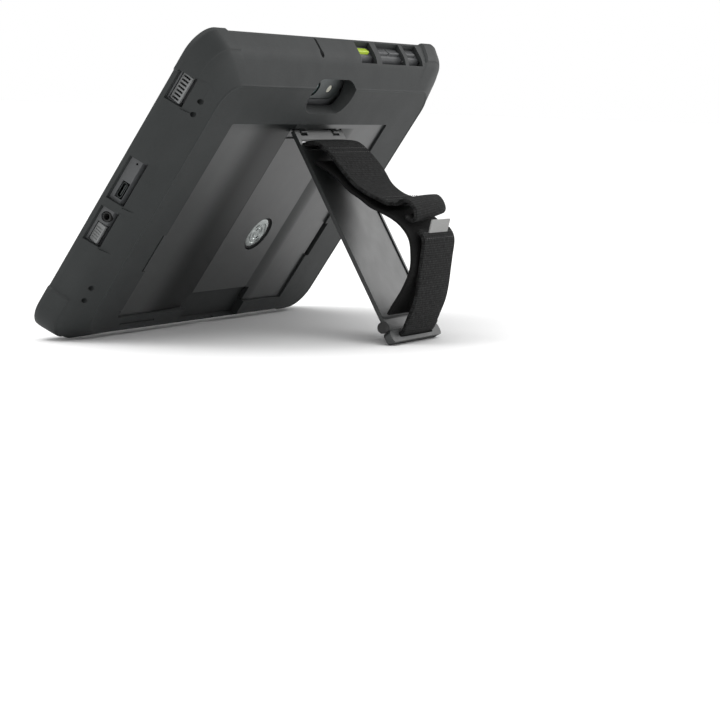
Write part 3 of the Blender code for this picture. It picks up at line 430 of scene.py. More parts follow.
cut(shell, pill("c", 46, 19, 8, 30))
cut(shell, pill("c", 46, 19, 18.5, 24, 2.5))
cut(shell, slab("p", PANEL_X[0] - GAP, PANEL_X[1] + GAP, PANEL_Y[0] - GAP, PANEL_Y[1] + GAP, PANEL_Z0 - GAP,
                30 * MM, 1 * MM, 3))
for x0 in (PANEL_X[0] - 3.6 * MM, PANEL_X[1] - 0.4 * MM):
    cut(shell, slab("n", x0, x0 + 4 * MM, -46 * MM, -22 * MM, 19 * MM, 30 * MM))
POCKET_X = (PIVOT.x - PLATE_W / 2 - CAP_L - 1.6 * MM, PIVOT.x + PLATE_W / 2 + CAP_L + 1.6 * MM)
POCKET_TOP = -68 * MM
cut(shell, slab("f", *POCKET_X, PIVOT.y - FOOT_END - 1.2 * MM, POCKET_TOP, PANEL_Z0 - GAP, 30 * MM))
cut(shell, slab("f", 0, 18 * MM, -HY - 3 * MM, -80 * MM, 19.2 * MM, 30 * MM))
cut(shell, slab("g", -86 * MM, -52 * MM, -82.4 * MM, -81.4 * MM, 21.2 * MM, 30 * MM))
cut(shell, slab("g", -94 * MM, -88 * MM, -73 * MM, -72 * MM, 21.2 * MM, 30 * MM))
bevel(shell, 0.35, 2, 38)
rubber_skin = surface(
    "moulded_rubber", CASE,
    lambda p: (p.noise(0.045, 2) * 0.6 + p.noise(0.9, 4) * 0.4).blend((0.018, 0.020, 0.020),
                                                                      (0.030, 0.033, 0.033)),
    lambda p: 0.5 + p.noise(0.06, 2) * 0.12 + p.noise(1.8, 3) * 0.08,
    lambda p: p.noise(3.2, 3) * 0.7 + p.noise(0.35, 2) * 0.9, 0.035, spec=0.28)
finish(shell, rubber_skin, "case", "soft_shell", "case_shell")

# ---------------- hard panel ----------------
# A polished black polycarbonate panel is pressed into the soft back. A shallow trough runs down its
# middle, with a long curved fall on the port side, so that the closed stand lies flush.
panel = slab("panel_moulding", *PANEL_X, *PANEL_Y, PANEL_Z0, PANEL_Z1, 1 * MM, 4)
trough_half = PLATE_W / 2 + 1.2 * MM
deep = PANEL_Z1 - TROUGH_Z
line = [(PIVOT.x - trough_half - 34 * MM, PANEL_Z1 + 2 * MM)]
for k in range(25):
    t = k / 24
    line.append((PIVOT.x - trough_half - 34 * MM * (1 - t), PANEL_Z1 - deep * (1 - math.cos(math.pi * t / 2))))
for k in range(13):
    t = k / 12
    line.append((PIVOT.x + trough_half + 12 * MM * t, TROUGH_Z + deep * math.sin(math.pi * t / 2)))
line.append((PIVOT.x + trough_half + 12 * MM, PANEL_Z1 + 2 * MM))
trough = loft([[Vector((x, y, z)) for x, z in line] for y in (PANEL_Y[0] - 2 * MM, PIVOT.y + 3 * MM)], "t")
cut(panel, trough)
cut(panel, slab("t", PIVOT.x - trough_half, PIVOT.x + trough_half, PIVOT.y - 5 * MM, PIVOT.y + 3 * MM,
                18.1 * MM, 30 * MM))
cut(panel, slab("t", *POCKET_X, PANEL_Y[0] - 2 * MM, POCKET_TOP, PANEL_Z0 - 1 * MM, 30 * MM))
DISC = Vector((15, -28.5, 0)) * MM
DISC_R = 9.5
cut(panel, rod("t", DISC + Vector((0, 0, 19 * MM)), "Z", (DISC_R + 1.7) * MM, 10 * MM, 64))
bevel(panel, 0.3, 3, 30)
# Painted shade: edges, in mm across the case, of a dark band on the port-side fall of the trough.
shade_from, shade_to = (PIVOT.x - trough_half) / MM - 54, (PIVOT.x - trough_half) / MM
gloss_with_painted_shade = surface(
    "polished_panel_painted_shade", CASE,
    lambda p: p.noise(0.05, 2).blend((0.02, 0.022, 0.022), (0.03, 0.032, 0.032)),
    lambda p: 0.24 + p.noise(0.12, 3) * 0.08 + (p * (1.0, 0.06, 1.0)).noise(2.5, 2) * 0.06,
    lambda p: p.noise(0.05, 1) * 0.6 + (p * (1.0, 0.06, 1.0)).noise(3.0, 2) * 0.1, 0.05)
tree = gloss_with_painted_shade.node_tree
place = tree.nodes["Mapping"].outputs["Vector"]
across = (Field(tree, place) * 1000.0).axis(0)
# Painted shade and dark reflection: a near-black, barely shiny shader is mixed over the gloss in that band,
# fading in from the left and stopping sharp where the trough floor begins.
painted_shade_bsdf = tree.nodes.new("ShaderNodeBsdfPrincipled")
painted_shade_bsdf.inputs["Base Color"].default_value = (0.006, 0.007, 0.007, 1)
painted_shade_bsdf.inputs["Roughness"].default_value = 0.4
painted_shade_bsdf.inputs["Specular IOR Level"].default_value = 0.12
painted_shade_band = across.ramp(shade_from, shade_to - 24) * across.ramp(shade_to, shade_to + 0.2, 1.0, 0.0)
shade_mix = across.add("MixShader", {0: painted_shade_band})
tree.links.new(tree.nodes["Principled BSDF"].outputs[0], shade_mix.socket.node.inputs[1])
tree.links.new(painted_shade_bsdf.outputs[0], shade_mix.socket.node.inputs[2])
tree.links.new(shade_mix.socket, tree.nodes["Material Output"].inputs["Surface"])
finish(panel, gloss_with_painted_shade, "case", "glossy_panel", "back_panel")

# ---------------- latch disc ----------------
# A turned steel disc sits in a dark rubber ring in the panel and holds the closed stand; plain
# turned grooves and a small dished centre.
turned = surface(
    "turned_steel", CASE @ Matrix.Translation(DISC),
    lambda p: p.noise(0.5, 3).blend((0.34, 0.37, 0.36), (0.5, 0.53, 0.52)),
    lambda p: 0.2 + p.noise(1.5, 2) * 0.12,
    lambda p: ((p.axis(0) ** 2.0 + p.axis(1) ** 2.0) ** 0.5 * 22.0).sine(), 0.006, metal=1.0)
finish(lathe("latch_plate", [(0, 17.75), (2.2, 17.75), (2.6, 17.95), (3.1, 17.95), (3.4, 17.6), (4.0, 17.6),
                             (4.3, 18.0), (6.1, 18.05), (6.3, 17.7), (6.9, 17.7), (7.1, 18.05), (9.0, 18.0),
                             (9.45, 17.8), (9.5, 17.3), (0, 17.3)], DISC, steps=96),
       turned, "case", "bright_metal", "latch_disc", sharp=25)
dark_rubber = surface(
    "dark_rubber", CASE, lambda p: p.noise(0.4, 3).blend((0.010, 0.010, 0.010), (0.022, 0.022, 0.022)),
    lambda p: 0.6 + p.noise(0.8, 2) * 0.2, lambda p: p.noise(2.5, 3), 0.04)
finish(lathe("latch_seat", [(9.8, 17.2), (10.9, 17.2), (10.9, 17.7), (10.6, 17.95), (10.0, 17.95), (9.8, 17.8)],
             DISC, closed=True), dark_rubber, "case", "foot_rubber", "latch_ring")

# ---------------- hinge ----------------
# A thin steel pin runs through two moulded lugs on the case and the knuckles of the stand plate.
satin_black = surface(
    "satin_plastic", STAND,
    lambda p: (p.noise(0.08, 2) * 0.5 + p.noise(1.2, 3) * 0.5).blend((0.012, 0.013, 0.013),
                                                                     (0.02, 0.022, 0.022)),
    lambda p: 0.27 + p.noise(0.1, 2) * 0.1 + (p * (1.0, 0.08, 1.0)).noise(2.0, 2) * 0.08,
    lambda p: p.noise(2.4, 3) * 0.5 + p.noise(0.06, 1) * 0.8, 0.03)
PLATE_X = PLATE_W / 2
LUG_W = 7 * MM
LUGS = (-PLATE_X + 6 * MM, PLATE_X - 6 * MM - LUG_W)
for side, x0 in zip(("left", "right"), LUGS):
    x0 += PIVOT.x
    lug = slab("lug_" + side, x0, x0 + LUG_W, PIVOT.y - 1.7 * MM, PIVOT.y + 1.7 * MM, 18.4 * MM, CASE_D)
    bevel(lug, 0.5, 3)
    cut(lug, rod("t", (x0 + LUG_W / 2, PIVOT.y, PIVOT.z), "X", 1 * MM, LUG_W + 2 * MM, 32))
    finish(lug, satin_black, "case", "stand_plastic", "hinge_lug_" + side)
bright_steel = surface(
    "bright_steel", CASE, lambda p: p.noise(0.8, 2).blend((0.5, 0.51, 0.52), (0.68, 0.69, 0.7)),
    lambda p: 0.22 + p.noise(2.0, 2) * 0.15, lambda p: (p * (0.1, 1.0, 1.0)).noise(6.0, 2), 0.01, metal=1.0)
half_pin = PLATE_W / MM / 2 - 2
finish(lathe("steel_pin", [(0, -half_pin), (0.5, -half_pin), (0.7, 0.2 - half_pin), (0.7, half_pin - 0.2),
                           (0.5, half_pin), (0, half_pin)], PIVOT, "X", 24),
       bright_steel, "case", "bright_metal", "hinge_pin")

# ---------------- stand plate ----------------
# A stiff moulded plate hangs from the pin. Its outer face is let in a little inside a raised rim, and
# a cross slot near the hinge takes the strap round a steel bar.
plate = slab("stand_moulding", -PLATE_X, PLATE_X, -122.2 * MM, 1.2 * MM, -1.2 * MM, 1.2 * MM, 1 * MM, 4)
cut(plate, slab("t", -PLATE_X + 1.8 * MM, PLATE_X - 1.8 * MM, -120.2 * MM, -11 * MM, 0.5 * MM, 10 * MM, 2 * MM))
for x0 in LUGS:
    cut(plate, slab("t", x0 - GAP, x0 + LUG_W + GAP, -2.4 * MM, 4 * MM, -5 * MM, 5 * MM))
cut(plate, rod("t", (0, 0, 0), "X", 1 * MM, PLATE_W - 3.4 * MM, 32))
BAND_W, STRAP_W = 49.0, 39.0
cut(plate, slab("t", -24.8 * MM, 24.8 * MM, -9.6 * MM, -5 * MM, -5 * MM, 5 * MM))
bevel(plate, 0.25, 2, 35)
finish(plate, satin_black, "stand", "stand_plastic", "kickstand_plate", turn=STAND)
finish(rod("anchor_rod", (0, -6 * MM, 0), "X", 0.6 * MM, (BAND_W - 1) * MM, 24), bright_steel, "stand",
       "bright_metal", "strap_anchor_bar", turn=STAND)

# ---------------- foot ----------------
# A thicker grey bar closes the end of the plate; the strap passes through its slot, and a rubber
# roller sits at each end to grip the table.
foot_grey = surface(
    "foot_plastic", STAND, lambda p: p.noise(0.3, 3).blend((0.03, 0.032, 0.032), (0.05, 0.052, 0.052)),
    lambda p: 0.42 + p.noise(0.5, 2) * 0.14, lambda p: p.noise(2.6, 3), 0.035)
foot = slab("foot_moulding", -30 * MM, 30 * MM, -FOOT_END, -122.5 * MM, -2.2 * MM, 2.2 * MM, 2.6 * MM, 12)
cut(foot, slab("t", -20.1 * MM, 20.1 * MM, -127.1 * MM, -123.9 * MM, -9 * MM, 9 * MM, 1.2 * MM, 8))
bevel(foot, 0.7, 4)
finish(foot, foot_grey, "stand", "stand_plastic", "foot_bar", turn=STAND)
for side, s in (("left", -1), ("right", 1)):
    finish(lathe("roller_" + side, [(0, -1.7), (2.5, -1.7), (3.0, -1.5), (3.2, -1.0), (3.2, -0.3), (3.0, -0.15),
                                    (3.0, 0.15), (3.2, 0.3), (3.2, 1.0), (3.0, 1.5), (2.5, 1.7), (0, 1.7)],
                 (s * (PLATE_X + GAP + CAP_L / 2), -119.6 * MM, 0), "X", 48),
           dark_rubber, "stand", "foot_rubber", "foot_cap_" + side, turn=STAND)

# ---------------- hand strap ----------------
# Black nylon webbing with cross ribs. The wide band leaves the slot in the plate, its end is folded back
# under a loop, a smooth inner liner bears on the hand, and the narrow webbing runs down into the foot.


def curve_points(points, count):
    """Smooth curve through the points, cut into equal lengths; also its length."""
    fine = []
    for i in range(len(points) - 1):
        p0, p1, p2 = Vector(points[max(i - 1, 0)]), Vector(points[i]), Vector(points[i + 1])
        p3 = Vector(points[min(i + 2, len(points) - 1)])
        for k in range(12):
            t = k / 12
            fine.append(0.5 * (2 * p1 + (p2 - p0) * t + (2 * p0 - 5 * p1 + 4 * p2 - p3) * t * t
                               + (3 * p1 - p0 - 3 * p2 + p3) * t ** 3))
    fine.append(Vector(points[-1]))
    run = [0.0]
    for a, b in zip(fine, fine[1:]):
        run.append(run[-1] + (b - a).length)
    out, j = [], 0
    for i in range(count + 1):
        want = run[-1] * i / count
        while j < len(run) - 2 and run[j + 1] < want:
            j += 1
        out.append(fine[j].lerp(fine[j + 1], (want - run[j]) / (run[j + 1] - run[j])))
    return out, run[-1]


RIB_PITCH = 1.3


def ribbon(name, left, right, thick, width, pitch=RIB_PITCH, rib=0.14, crown=0.5):
    """Webbing in the stand's frame from its edge paths (down the plate, away from it) in mm.
    Ribs of that pitch and height cross it, and its middle stands a little above its edges."""
    length = curve_points(left, 60)[1]
    count = int(length / (pitch / 6 if rib else 0.8))
    left, right = curve_points(left, count)[0], curve_points(right, count)[0]
    half, r = width / 2, thick / 2
    us = [-half + r * (1 - math.cos(math.radians(a))) for a in (0, 20, 40, 60, 80)]
    us += [-half + r + (width - thick) * k / 16 for k in range(17)]
    us += [-u for u in us[:5]][::-1]
    rings, places = [], []
    for i in range(count + 1):
        at = length * i / count
        a, b = max(i - 1, 0), min(i + 1, count)
        top, low = [], []
        for u in us:
            f = (u + half) / width
            c = left[i].lerp(right[i], f)
            d = (left[b].lerp(right[b], f) - left[a].lerp(right[a], f)).normalized()
            n = Vector((-d.y, d.x))
            side = max(0.0, (abs(u) - half + r) / r)
            h = r * math.sqrt(max(0.0, 1 - side * side))
            lift = crown * (0.5 - (u / half) ** 2) * min(1.0, at / 6, (length - at) / 6)
            ridge = rib * abs(math.sin(math.pi * at / pitch)) * (1 - side) if rib else 0.0
            for rows, k in ((top, 1), (low, -1)):
                q = c + n * (lift + k * (h - rib * (1 - side) + ridge))
                rows.append((Vector((u, -q.x, q.y)) * MM, (u * MM, at * MM)))
        row = top + low[-2:0:-1]
        rings.append([v for v, _ in row])
        places += [uv for _, uv in row]
    obj = loft(rings, name)
    layer = obj.data.uv_layers.new(name="weave")
    for loop in obj.data.loops:
        layer.data[loop.index].uv = places[loop.vertex_index]
    return obj


# The webbing's colour is striped at the rib pitch, darkest on the rib crowns and lightest in the grooves:
# painted light and shade across the ribs, over a random mottle of tone.
webbing = surface(
    "ribbed_webbing_painted_rib_shading", STAND,
    lambda p: ((p.axis(1) * (2 * math.pi / RIB_PITCH) + 1.6).sine().ramp(-1, 1, 0.35, 1.0)
               * (p * (1.0, 0.25, 1.0)).noise(1.4, 4).ramp(0.3, 0.75)).blend((0.003, 0.003, 0.003),
                                                                               (0.034, 0.035, 0.035)),
    0.82, lambda p: (p.axis(0) * 9.0).sine() * 0.5 + (p * (1.0, 0.5, 1.0)).noise(3.5, 3), 0.08,
    spec=0.1, sheen=0.02, uv=True)
smooth_weave = surface(
    "smooth_weave", STAND,
    lambda p: p.noise(0.9, 4).blend((0.003, 0.003, 0.003), (0.012, 0.012, 0.012)),
    0.8, lambda p: (p.axis(0) * 12.0).sine() * (p.axis(1) * 12.0).sine() + p.noise(2.0, 3) * 0.5, 0.06,
    spec=0.1, sheen=0.02, uv=True)
UPPER = ((8.0, -0.6), (7.9, 2.6), (9.6, 6.8), (13.6, 10.2), (22.0, 13.3), (32.0, 15.6), (42.0, 18.6),
         (50.0, 23.4), (56.0, 28.0), (60.6, 31.4))
UPPER_RIGHT = UPPER[:6] + ((42.0, 16.6), (50.0, 20.4), (56.0, 26.0), (60.6, 31.4))
FOLD_LEFT = ((61.6, 33.2), (62.6, 35.8), (62.2, 38.2), (63.8, 41.4), (67.0, 43.2), (71.0, 43.4), (74.4, 42.0),
             (75.4, 39.8), (74.0, 38.0), (71.0, 36.8))
FOLD_RIGHT = ((61.2, 33.2), (61.0, 35.2), (60.2, 37.4), (61.4, 39.8), (64.4, 41.0), (67.6, 41.0), (69.8, 40.2),
              (70.6, 38.6), (69.6, 37.2), (67.6, 36.2))
LINER = ((19.6, 2.4), (25.0, 6.2), (33.0, 10.6), (42.4, 13.8), (49.6, 17.9), (56.5, 21.4), (61.7, 25.4),
         (69.0, 30.6), (76.1, 33.6), (83.5, 34.2), (90.7, 31.6), (98.5, 26.7), (105.4, 17.9), (111.4, 6.6),
         (113.4, 3.0))
LOWER = ((80.5, 38.6), (84.5, 39.2), (88.5, 38.0), (95.0, 33.2), (101.5, 28.4), (108.5, 23.2),
         (114.5, 17.8), (119.2, 11.8), (122.8, 7.2), (124.9, 4.4), (125.5, 1.6), (125.5, -1.8))
for name, node, left, right, thick, width, rib, mat in (
        ("wide_band", "strap_upper_band", UPPER, UPPER_RIGHT, 2.2, BAND_W, 0.14, webbing),
        ("folded_end", "strap_fold", FOLD_LEFT, FOLD_RIGHT, 2.2, BAND_W - 4, 0.14, webbing),
        ("inner_liner", "strap_liner", LINER, LINER, 1.6, BAND_W, 0.0, smooth_weave),
        ("narrow_webbing", "strap_lower_webbing", LOWER, LOWER, 2.2, STRAP_W, 0.14, webbing)):
    finish(ribbon(name, left, right, thick, width, rib=rib), mat, "stand", "webbing", node, turn=STAND,
           sharp=70, weighted=False)
# The tag is plain pale grey; its colour follows the weave's bump, lighter on the raised threads and darker in
# the hollows: painted light and shade.
tag_weave_painted_shading = surface(
    "tag_weave_painted_shading", STAND,
    lambda p: ((p.axis(0) * 7.0).sine() * (p.axis(1) * 7.0).sine()).ramp(-1, 1).blend((0.2, 0.2, 0.2),
                                                                                       (0.36, 0.36, 0.35)),
    0.7, lambda p: (p.axis(0) * 7.0).sine() * (p.axis(1) * 7.0).sine(), 0.05, sheen=0.1, uv=True)
TAG = ((83.2, 40.2), (82.0, 41.4), (80.0, 43.3), (78.0, 45.2))
finish(ribbon("woven_tag", TAG, TAG, 0.9, 23, rib=0.0, crown=0.1), tag_weave_painted_shading, "stand", "tag_fabric",
       "strap_tag", turn=STAND, sharp=70, weighted=False)
thread = surface("thread", STAND, lambda p: p.noise(2.0, 3).blend((0.03, 0.03, 0.03), (0.07, 0.07, 0.07)),
                 0.7, lambda p: (p.axis(0) * 20.0 + p.axis(1) * 20.0).sine(), 0.03)


def stitches(name, path, inset, width, along, lift):
    """Rows of short thread stitches across a webbing at these lengths along its path, in mm."""
    pts, length = curve_points(path, 200)
    bm = bmesh.new()
    for at in along:
        i = min(int(at / length * 200), 198)
        d = (pts[i + 1] - pts[i]).normalized()
        c = pts[i] + Vector((-d.y, d.x)) * lift
        for k in range(int((width - 2 * inset) / 2.6)):
            u = -width / 2 + inset + 1.3 + 2.6 * k
            grip = bmesh.ops.create_uvsphere(bm, u_segments=8, v_segments=6, radius=1.0)["verts"]
            bmesh.ops.scale(bm, vec=(0.95 * MM, 0.24 * MM, 0.2 * MM), verts=grip)
            bmesh.ops.translate(bm, vec=(u * MM, -c.x * MM, c.y * MM), verts=grip)
    return new_object(name, bm)


finish(stitches("band_stitches", UPPER, 2, BAND_W, (17, 20, 60, 63), 1.25), thread, "stand", "webbing",
       turn=STAND)
finish(stitches("webbing_stitches", LOWER, 2, STRAP_W, (3, 6), 1.2), thread, "stand", "webbing", turn=STAND)

# ---------------- tablet housing ----------------
# The tablet's black plastic back shell fills the case. Its ports, speaker and keys look out of the
# windows; four screws hold it to the front bezel round the screen.
BEZEL_Z = 2.6
house = surface(
    "housing_plastic", CASE,
    lambda p: (p.noise(0.06, 2) * 0.5 + p.noise(1.5, 3) * 0.5).blend((0.05, 0.053, 0.055),
                                                                     (0.08, 0.083, 0.086)),
    lambda p: 0.42 + p.noise(0.8, 3) * 0.12, lambda p: p.noise(4.5, 3), 0.03)


def tab_ring(z, extra=0.0, r_extra=0.0):
    """Outline of the tablet at depth z, in mm."""
    e = side_inset(z * MM) + WALL + GAP + extra * MM
    r = max(12 * MM - GAP - extra * MM + r_extra * MM, 1 * MM)
    return rounded_ring(-HX + e, HX - e, -HY + WALL + GAP + extra * MM, HY - e, r, z * MM)


housing = loft([tab_ring(BEZEL_Z + 0.3), tab_ring(9), tab_ring(10.2, 2, 3), tab_ring(11.2, 8, 12),
                tab_ring(12.6, 20, 30)], "housing_moulding")
cut(housing, loft([tab_ring(BEZEL_Z - 1, 2), tab_ring(8, 2), tab_ring(11.2, 22, 32)], "t"))


def tab_y(z):
    return HY - side_inset(z * MM) - WALL - GAP


KEY_Z, PORT_Z = 5.4, 6.8
top_y = tab_y(KEY_Z)
side_x = -(HX - side_inset(PORT_Z * MM) - WALL - GAP)
KEYS = (("program", 34.5, 13, 3.6), ("volume_down", 58, 12.5, 4), ("volume_up", 72.2, 12.5, 4),
        ("power", 93.5, 11, 4))
for _, x, w, h in KEYS:
    cut(housing, slab("t", (x - w / 2 - 0.3) * MM, (x + w / 2 + 0.3) * MM, top_y - 4.5 * MM, top_y + 5 * MM,
                      (KEY_Z - h / 2 - 0.3) * MM, (KEY_Z + h / 2 + 0.3) * MM))
USB_Y, JACK_Y = -2.0, -19.0
GRILLE_Y, GRILLE_Z, DOOR_Y, DOOR_Z = (53.8, 69.2), (3.9, 10.1), (-34.2, -23.6), (4.4, 9.6)
for y0, y1, z0, z1, r in ((USB_Y - 4.9, USB_Y + 4.9, PORT_Z - 2.05, PORT_Z + 2.05, 9),
                          (GRILLE_Y[0] - 0.3, GRILLE_Y[1] + 0.3, GRILLE_Z[0] - 0.3, GRILLE_Z[1] + 0.3, 4),
                          (DOOR_Y[0] - 0.3, DOOR_Y[1] + 0.3, DOOR_Z[0] - 0.3, DOOR_Z[1] + 0.3, 4)):
    cut(housing, slab("t", side_x - 3 * MM, side_x + r * MM, y0 * MM, y1 * MM, z0 * MM, z1 * MM))
cut(housing, rod("t", (side_x + 2 * MM, JACK_Y * MM, PORT_Z * MM), "X", 2.9 * MM, 16 * MM, 32))
cut(housing, rod("t", (side_x, 14.2 * MM, PORT_Z * MM), "X", 0.6 * MM, 8 * MM, 16))
cut(housing, pill("c", 42.6, 14.6, 8, 20))
SCREWS = ((-104, 50), (104, 50), (104, -60), (-104, -60))
for x, y in SCREWS:
    cut(housing, rod("t", (x * MM, y * MM, 12 * MM), "Z", 2.6 * MM, 4 * MM, 32))
bevel(housing, 0.15, 2, 35)
finish(housing, house, "tablet", "tablet_housing", "rear_housing")
for k, (x, y) in enumerate(SCREWS):
    screw = lathe("screw_%d" % (k + 1), [(0, 10.35), (2.2, 10.35), (2.2, 11.5), (1.9, 11.8), (0, 11.85)],
                  (x * MM, y * MM, 0), steps=48)
    cut(screw, rod("t", (x * MM, y * MM, 12.1 * MM), "Z", 1.0 * MM, 1.8 * MM, 6))
    finish(screw, bright_steel, "tablet", "bright_metal", "housing_screw_%d" % (k + 1))

# ---------------- keys ----------------
# Four moulded keys in the top edge: a lime one for programs, two for volume and one for power, each
# with rounded edges and a slightly dished face.
lime = surface("lime_plastic", CASE, lambda p: p.noise(0.5, 3).blend((0.40, 0.56, 0.02), (0.52, 0.68, 0.05)),
               lambda p: 0.36 + p.noise(1.5, 2) * 0.1, lambda p: p.noise(3.5, 2), 0.02)
for name, x, w, h in KEYS:
    key = slab(name + "_cap", (x - w / 2) * MM, (x + w / 2) * MM, top_y - 2.4 * MM, top_y + 1.0 * MM,
               (KEY_Z - h / 2) * MM, (KEY_Z + h / 2) * MM)
    bevel(key, 0.45, 4)
    dish = rod("t", (x * MM, top_y + 40.8 * MM, KEY_Z * MM), "Z", 40 * MM, 2.2 * MM, 256)
    cut(key, dish)
    finish(key, lime if name == "program" else house, name + "_key",
           "lime_key" if name == "program" else "tablet_housing", name + "_button")

# ---------------- screen ----------------
# The front bezel frames one sheet of dark cover glass that lies just below it.
bezel = loft([tab_ring(1.2, 1.0), tab_ring(1.35, 0.5), tab_ring(1.7, 0.12), tab_ring(2.1), tab_ring(BEZEL_Z)],
             "bezel_moulding")
GLASS_X, GLASS_Y = HX - WALL - GAP - 8.5 * MM, HY - WALL - GAP - 8.5 * MM
cut(bezel, slab("t", -GLASS_X - GAP, GLASS_X + GAP, -GLASS_Y - GAP, GLASS_Y + GAP, -1 * MM, 9 * MM, 4.3 * MM))
bevel(bezel, 0.15, 2, 50)
bezel_plastic = surface(
    "bezel_plastic", CASE, lambda p: p.noise(1.0, 3).blend((0.010, 0.011, 0.012), (0.02, 0.021, 0.023)),
    lambda p: 0.5 + p.noise(0.8, 3) * 0.12, lambda p: p.noise(4.5, 3), 0.03, spec=0.25)
finish(bezel, bezel_plastic, "tablet", "tablet_housing", "front_bezel")
SHOWN_X, SHOWN_Y = 109.0, 68.0
cover = surface(
    "cover_glass", CASE,
    lambda p: (p.axis(0).calc("ABSOLUTE", p.axis(0)).ramp(SHOWN_X, SHOWN_X + 0.3)
               .calc("MAXIMUM", p.axis(1).calc("ABSOLUTE", p.axis(1)).ramp(SHOWN_Y, SHOWN_Y + 0.3), 0.0))
    .blend((0.012, 0.013, 0.016), (0.003, 0.003, 0.003)),
    lambda p: 0.06 + p.noise(0.03, 3).ramp(0.45, 0.8) * 0.1, None, spec=0.3)
glass = slab("glass_sheet", -GLASS_X, GLASS_X, -GLASS_Y, GLASS_Y, 1.4 * MM, 2.5 * MM, 4 * MM, 12)
finish(bevel(glass, 0.2, 3), cover, "tablet", "screen_glass", "cover_glass")

# ---------------- camera module ----------------
# A steel surround with round ends stands in the case's camera opening, with a dark glass window
# over the lens and a clear one over the flash. Its steel is darkened as painted shade from deep in the opening.
EYE, FLASH = Vector((CAM_X - 8 * MM, CAM_Y, 0)), Vector((CAM_X + 9 * MM, CAM_Y, 0))
ring = loft([rounded_ring(CAM_X - (21 - e) * MM, CAM_X + (21 - e) * MM, CAM_Y - (7 - e) * MM,
                          CAM_Y + (7 - e) * MM, (7 - e) * MM - 1e-5, z * MM, 24)
             for e, z in ((0, 11.4), (0, 13.2), (0.12, 13.6), (0.5, 13.9), (1.0, 14.0))], "camera_surround")
cut(ring, rod("t", EYE + Vector((0, 0, 12 * MM)), "Z", 4.8 * MM, 10 * MM, 64))
cut(ring, rod("t", FLASH + Vector((0, 0, 12 * MM)), "Z", 2.6 * MM, 10 * MM, 48))
# Steel darkened nearly to black: painted shade for the camera surround and the data socket, which sit deep in
# the case's openings.
steel_painted_shade = surface(
    "steel_painted_shade", CASE, lambda p: p.noise(0.8, 2).blend((0.05, 0.055, 0.055), (0.11, 0.12, 0.12)),
    lambda p: 0.34 + p.noise(2.0, 2) * 0.15, lambda p: (p * (0.1, 1.0, 1.0)).noise(6.0, 2), 0.01, metal=1.0)
finish(bevel(ring, 0.12, 2, 50), steel_painted_shade, "tablet", "bright_metal", "camera_ring")
lens_glass = surface(
    "lens_glass", CASE @ Matrix.Translation(EYE),
    lambda p: ((p.axis(0) ** 2.0 + p.axis(1) ** 2.0) ** 0.5).ramp(1.3, 3.6).blend((0.002, 0.006, 0.007),
                                                                                 (0.03, 0.06, 0.058)),
    lambda p: 0.1 + p.noise(0.4, 2) * 0.05, None, spec=0.4)
finish(lathe("lens_window", [(0, 12.8), (4.5, 12.8), (4.5, 13.3), (4.3, 13.5), (3.4, 13.62), (2.0, 13.72),
                             (0, 13.75)], EYE, steps=64), lens_glass, "tablet", "screen_glass", "camera_window")
clear = surface("flash_lens", CASE @ Matrix.Translation(FLASH),
                lambda p: p.noise(1.5, 2).blend((0.62, 0.6, 0.45), (0.8, 0.8, 0.74)), 0.12,
                lambda p: ((p.axis(0) ** 2.0 + p.axis(1) ** 2.0) ** 0.5 * 14.0).sine(), 0.05, coat=0.6)
finish(lathe("flash_cap", [(0, 12.2), (2.3, 12.2), (2.3, 13.6), (2.1, 13.8), (0, 13.85)],
             FLASH, steps=48), clear, "tablet", "lens_plastic", "flash_window")

# ---------------- speaker, ports and card door ----------------
# On the short side: a slotted speaker grille, a pressed steel data socket with its tongue, the headset
# jack and a ribbed card door, all slightly proud of the housing.
grille_grey = surface(
    "grille_plastic", CASE, lambda p: p.noise(0.8, 3).blend((0.14, 0.145, 0.145), (0.2, 0.205, 0.205)),
    lambda p: 0.42 + p.noise(1.2, 2) * 0.1, lambda p: p.noise(4.0, 3), 0.02)
PROUD = 0.7
grille = slab("grille_moulding", side_x - PROUD * MM, side_x + 1.5 * MM, GRILLE_Y[0] * MM, GRILLE_Y[1] * MM,
              GRILLE_Z[0] * MM, GRILLE_Z[1] * MM)
bevel(grille, 0.3, 2)
for k in range(7):
    y = GRILLE_Y[0] + 0.9 + k * 2.08
    cut(grille, slab("t", side_x - 3 * MM, side_x + 4 * MM, y * MM, (y + 1.1) * MM, (GRILLE_Z[0] + 0.9) * MM,
                     (GRILLE_Z[1] - 0.9) * MM))
finish(grille, grille_grey, "tablet", "tablet_housing", "speaker_grille")


def socket_ring(half_l, half_h, x):
    """Stadium outline across the socket at place x along it, in mm."""
    ring = rounded_ring(USB_Y - half_l, USB_Y + half_l, PORT_Z - half_h, PORT_Z + half_h, half_h - 0.01, 0, 10)
    return [Vector((side_x + x * MM, p.x * MM, p.y * MM)) for p in ring]


usb = loft([socket_ring(4.47, 1.6, -0.1), socket_ring(4.47, 1.6, 7)], "socket_shell")
cut(usb, loft([socket_ring(4.12, 1.25, -1), socket_ring(4.12, 1.25, 6)], "t"))
cut(usb, slab("t", side_x + 0.8 * MM, side_x + 6.4 * MM, (USB_Y - 3.2) * MM, (USB_Y + 3.2) * MM,
              (PORT_Z - 0.32) * MM, (PORT_Z + 0.32) * MM), operation="UNION")
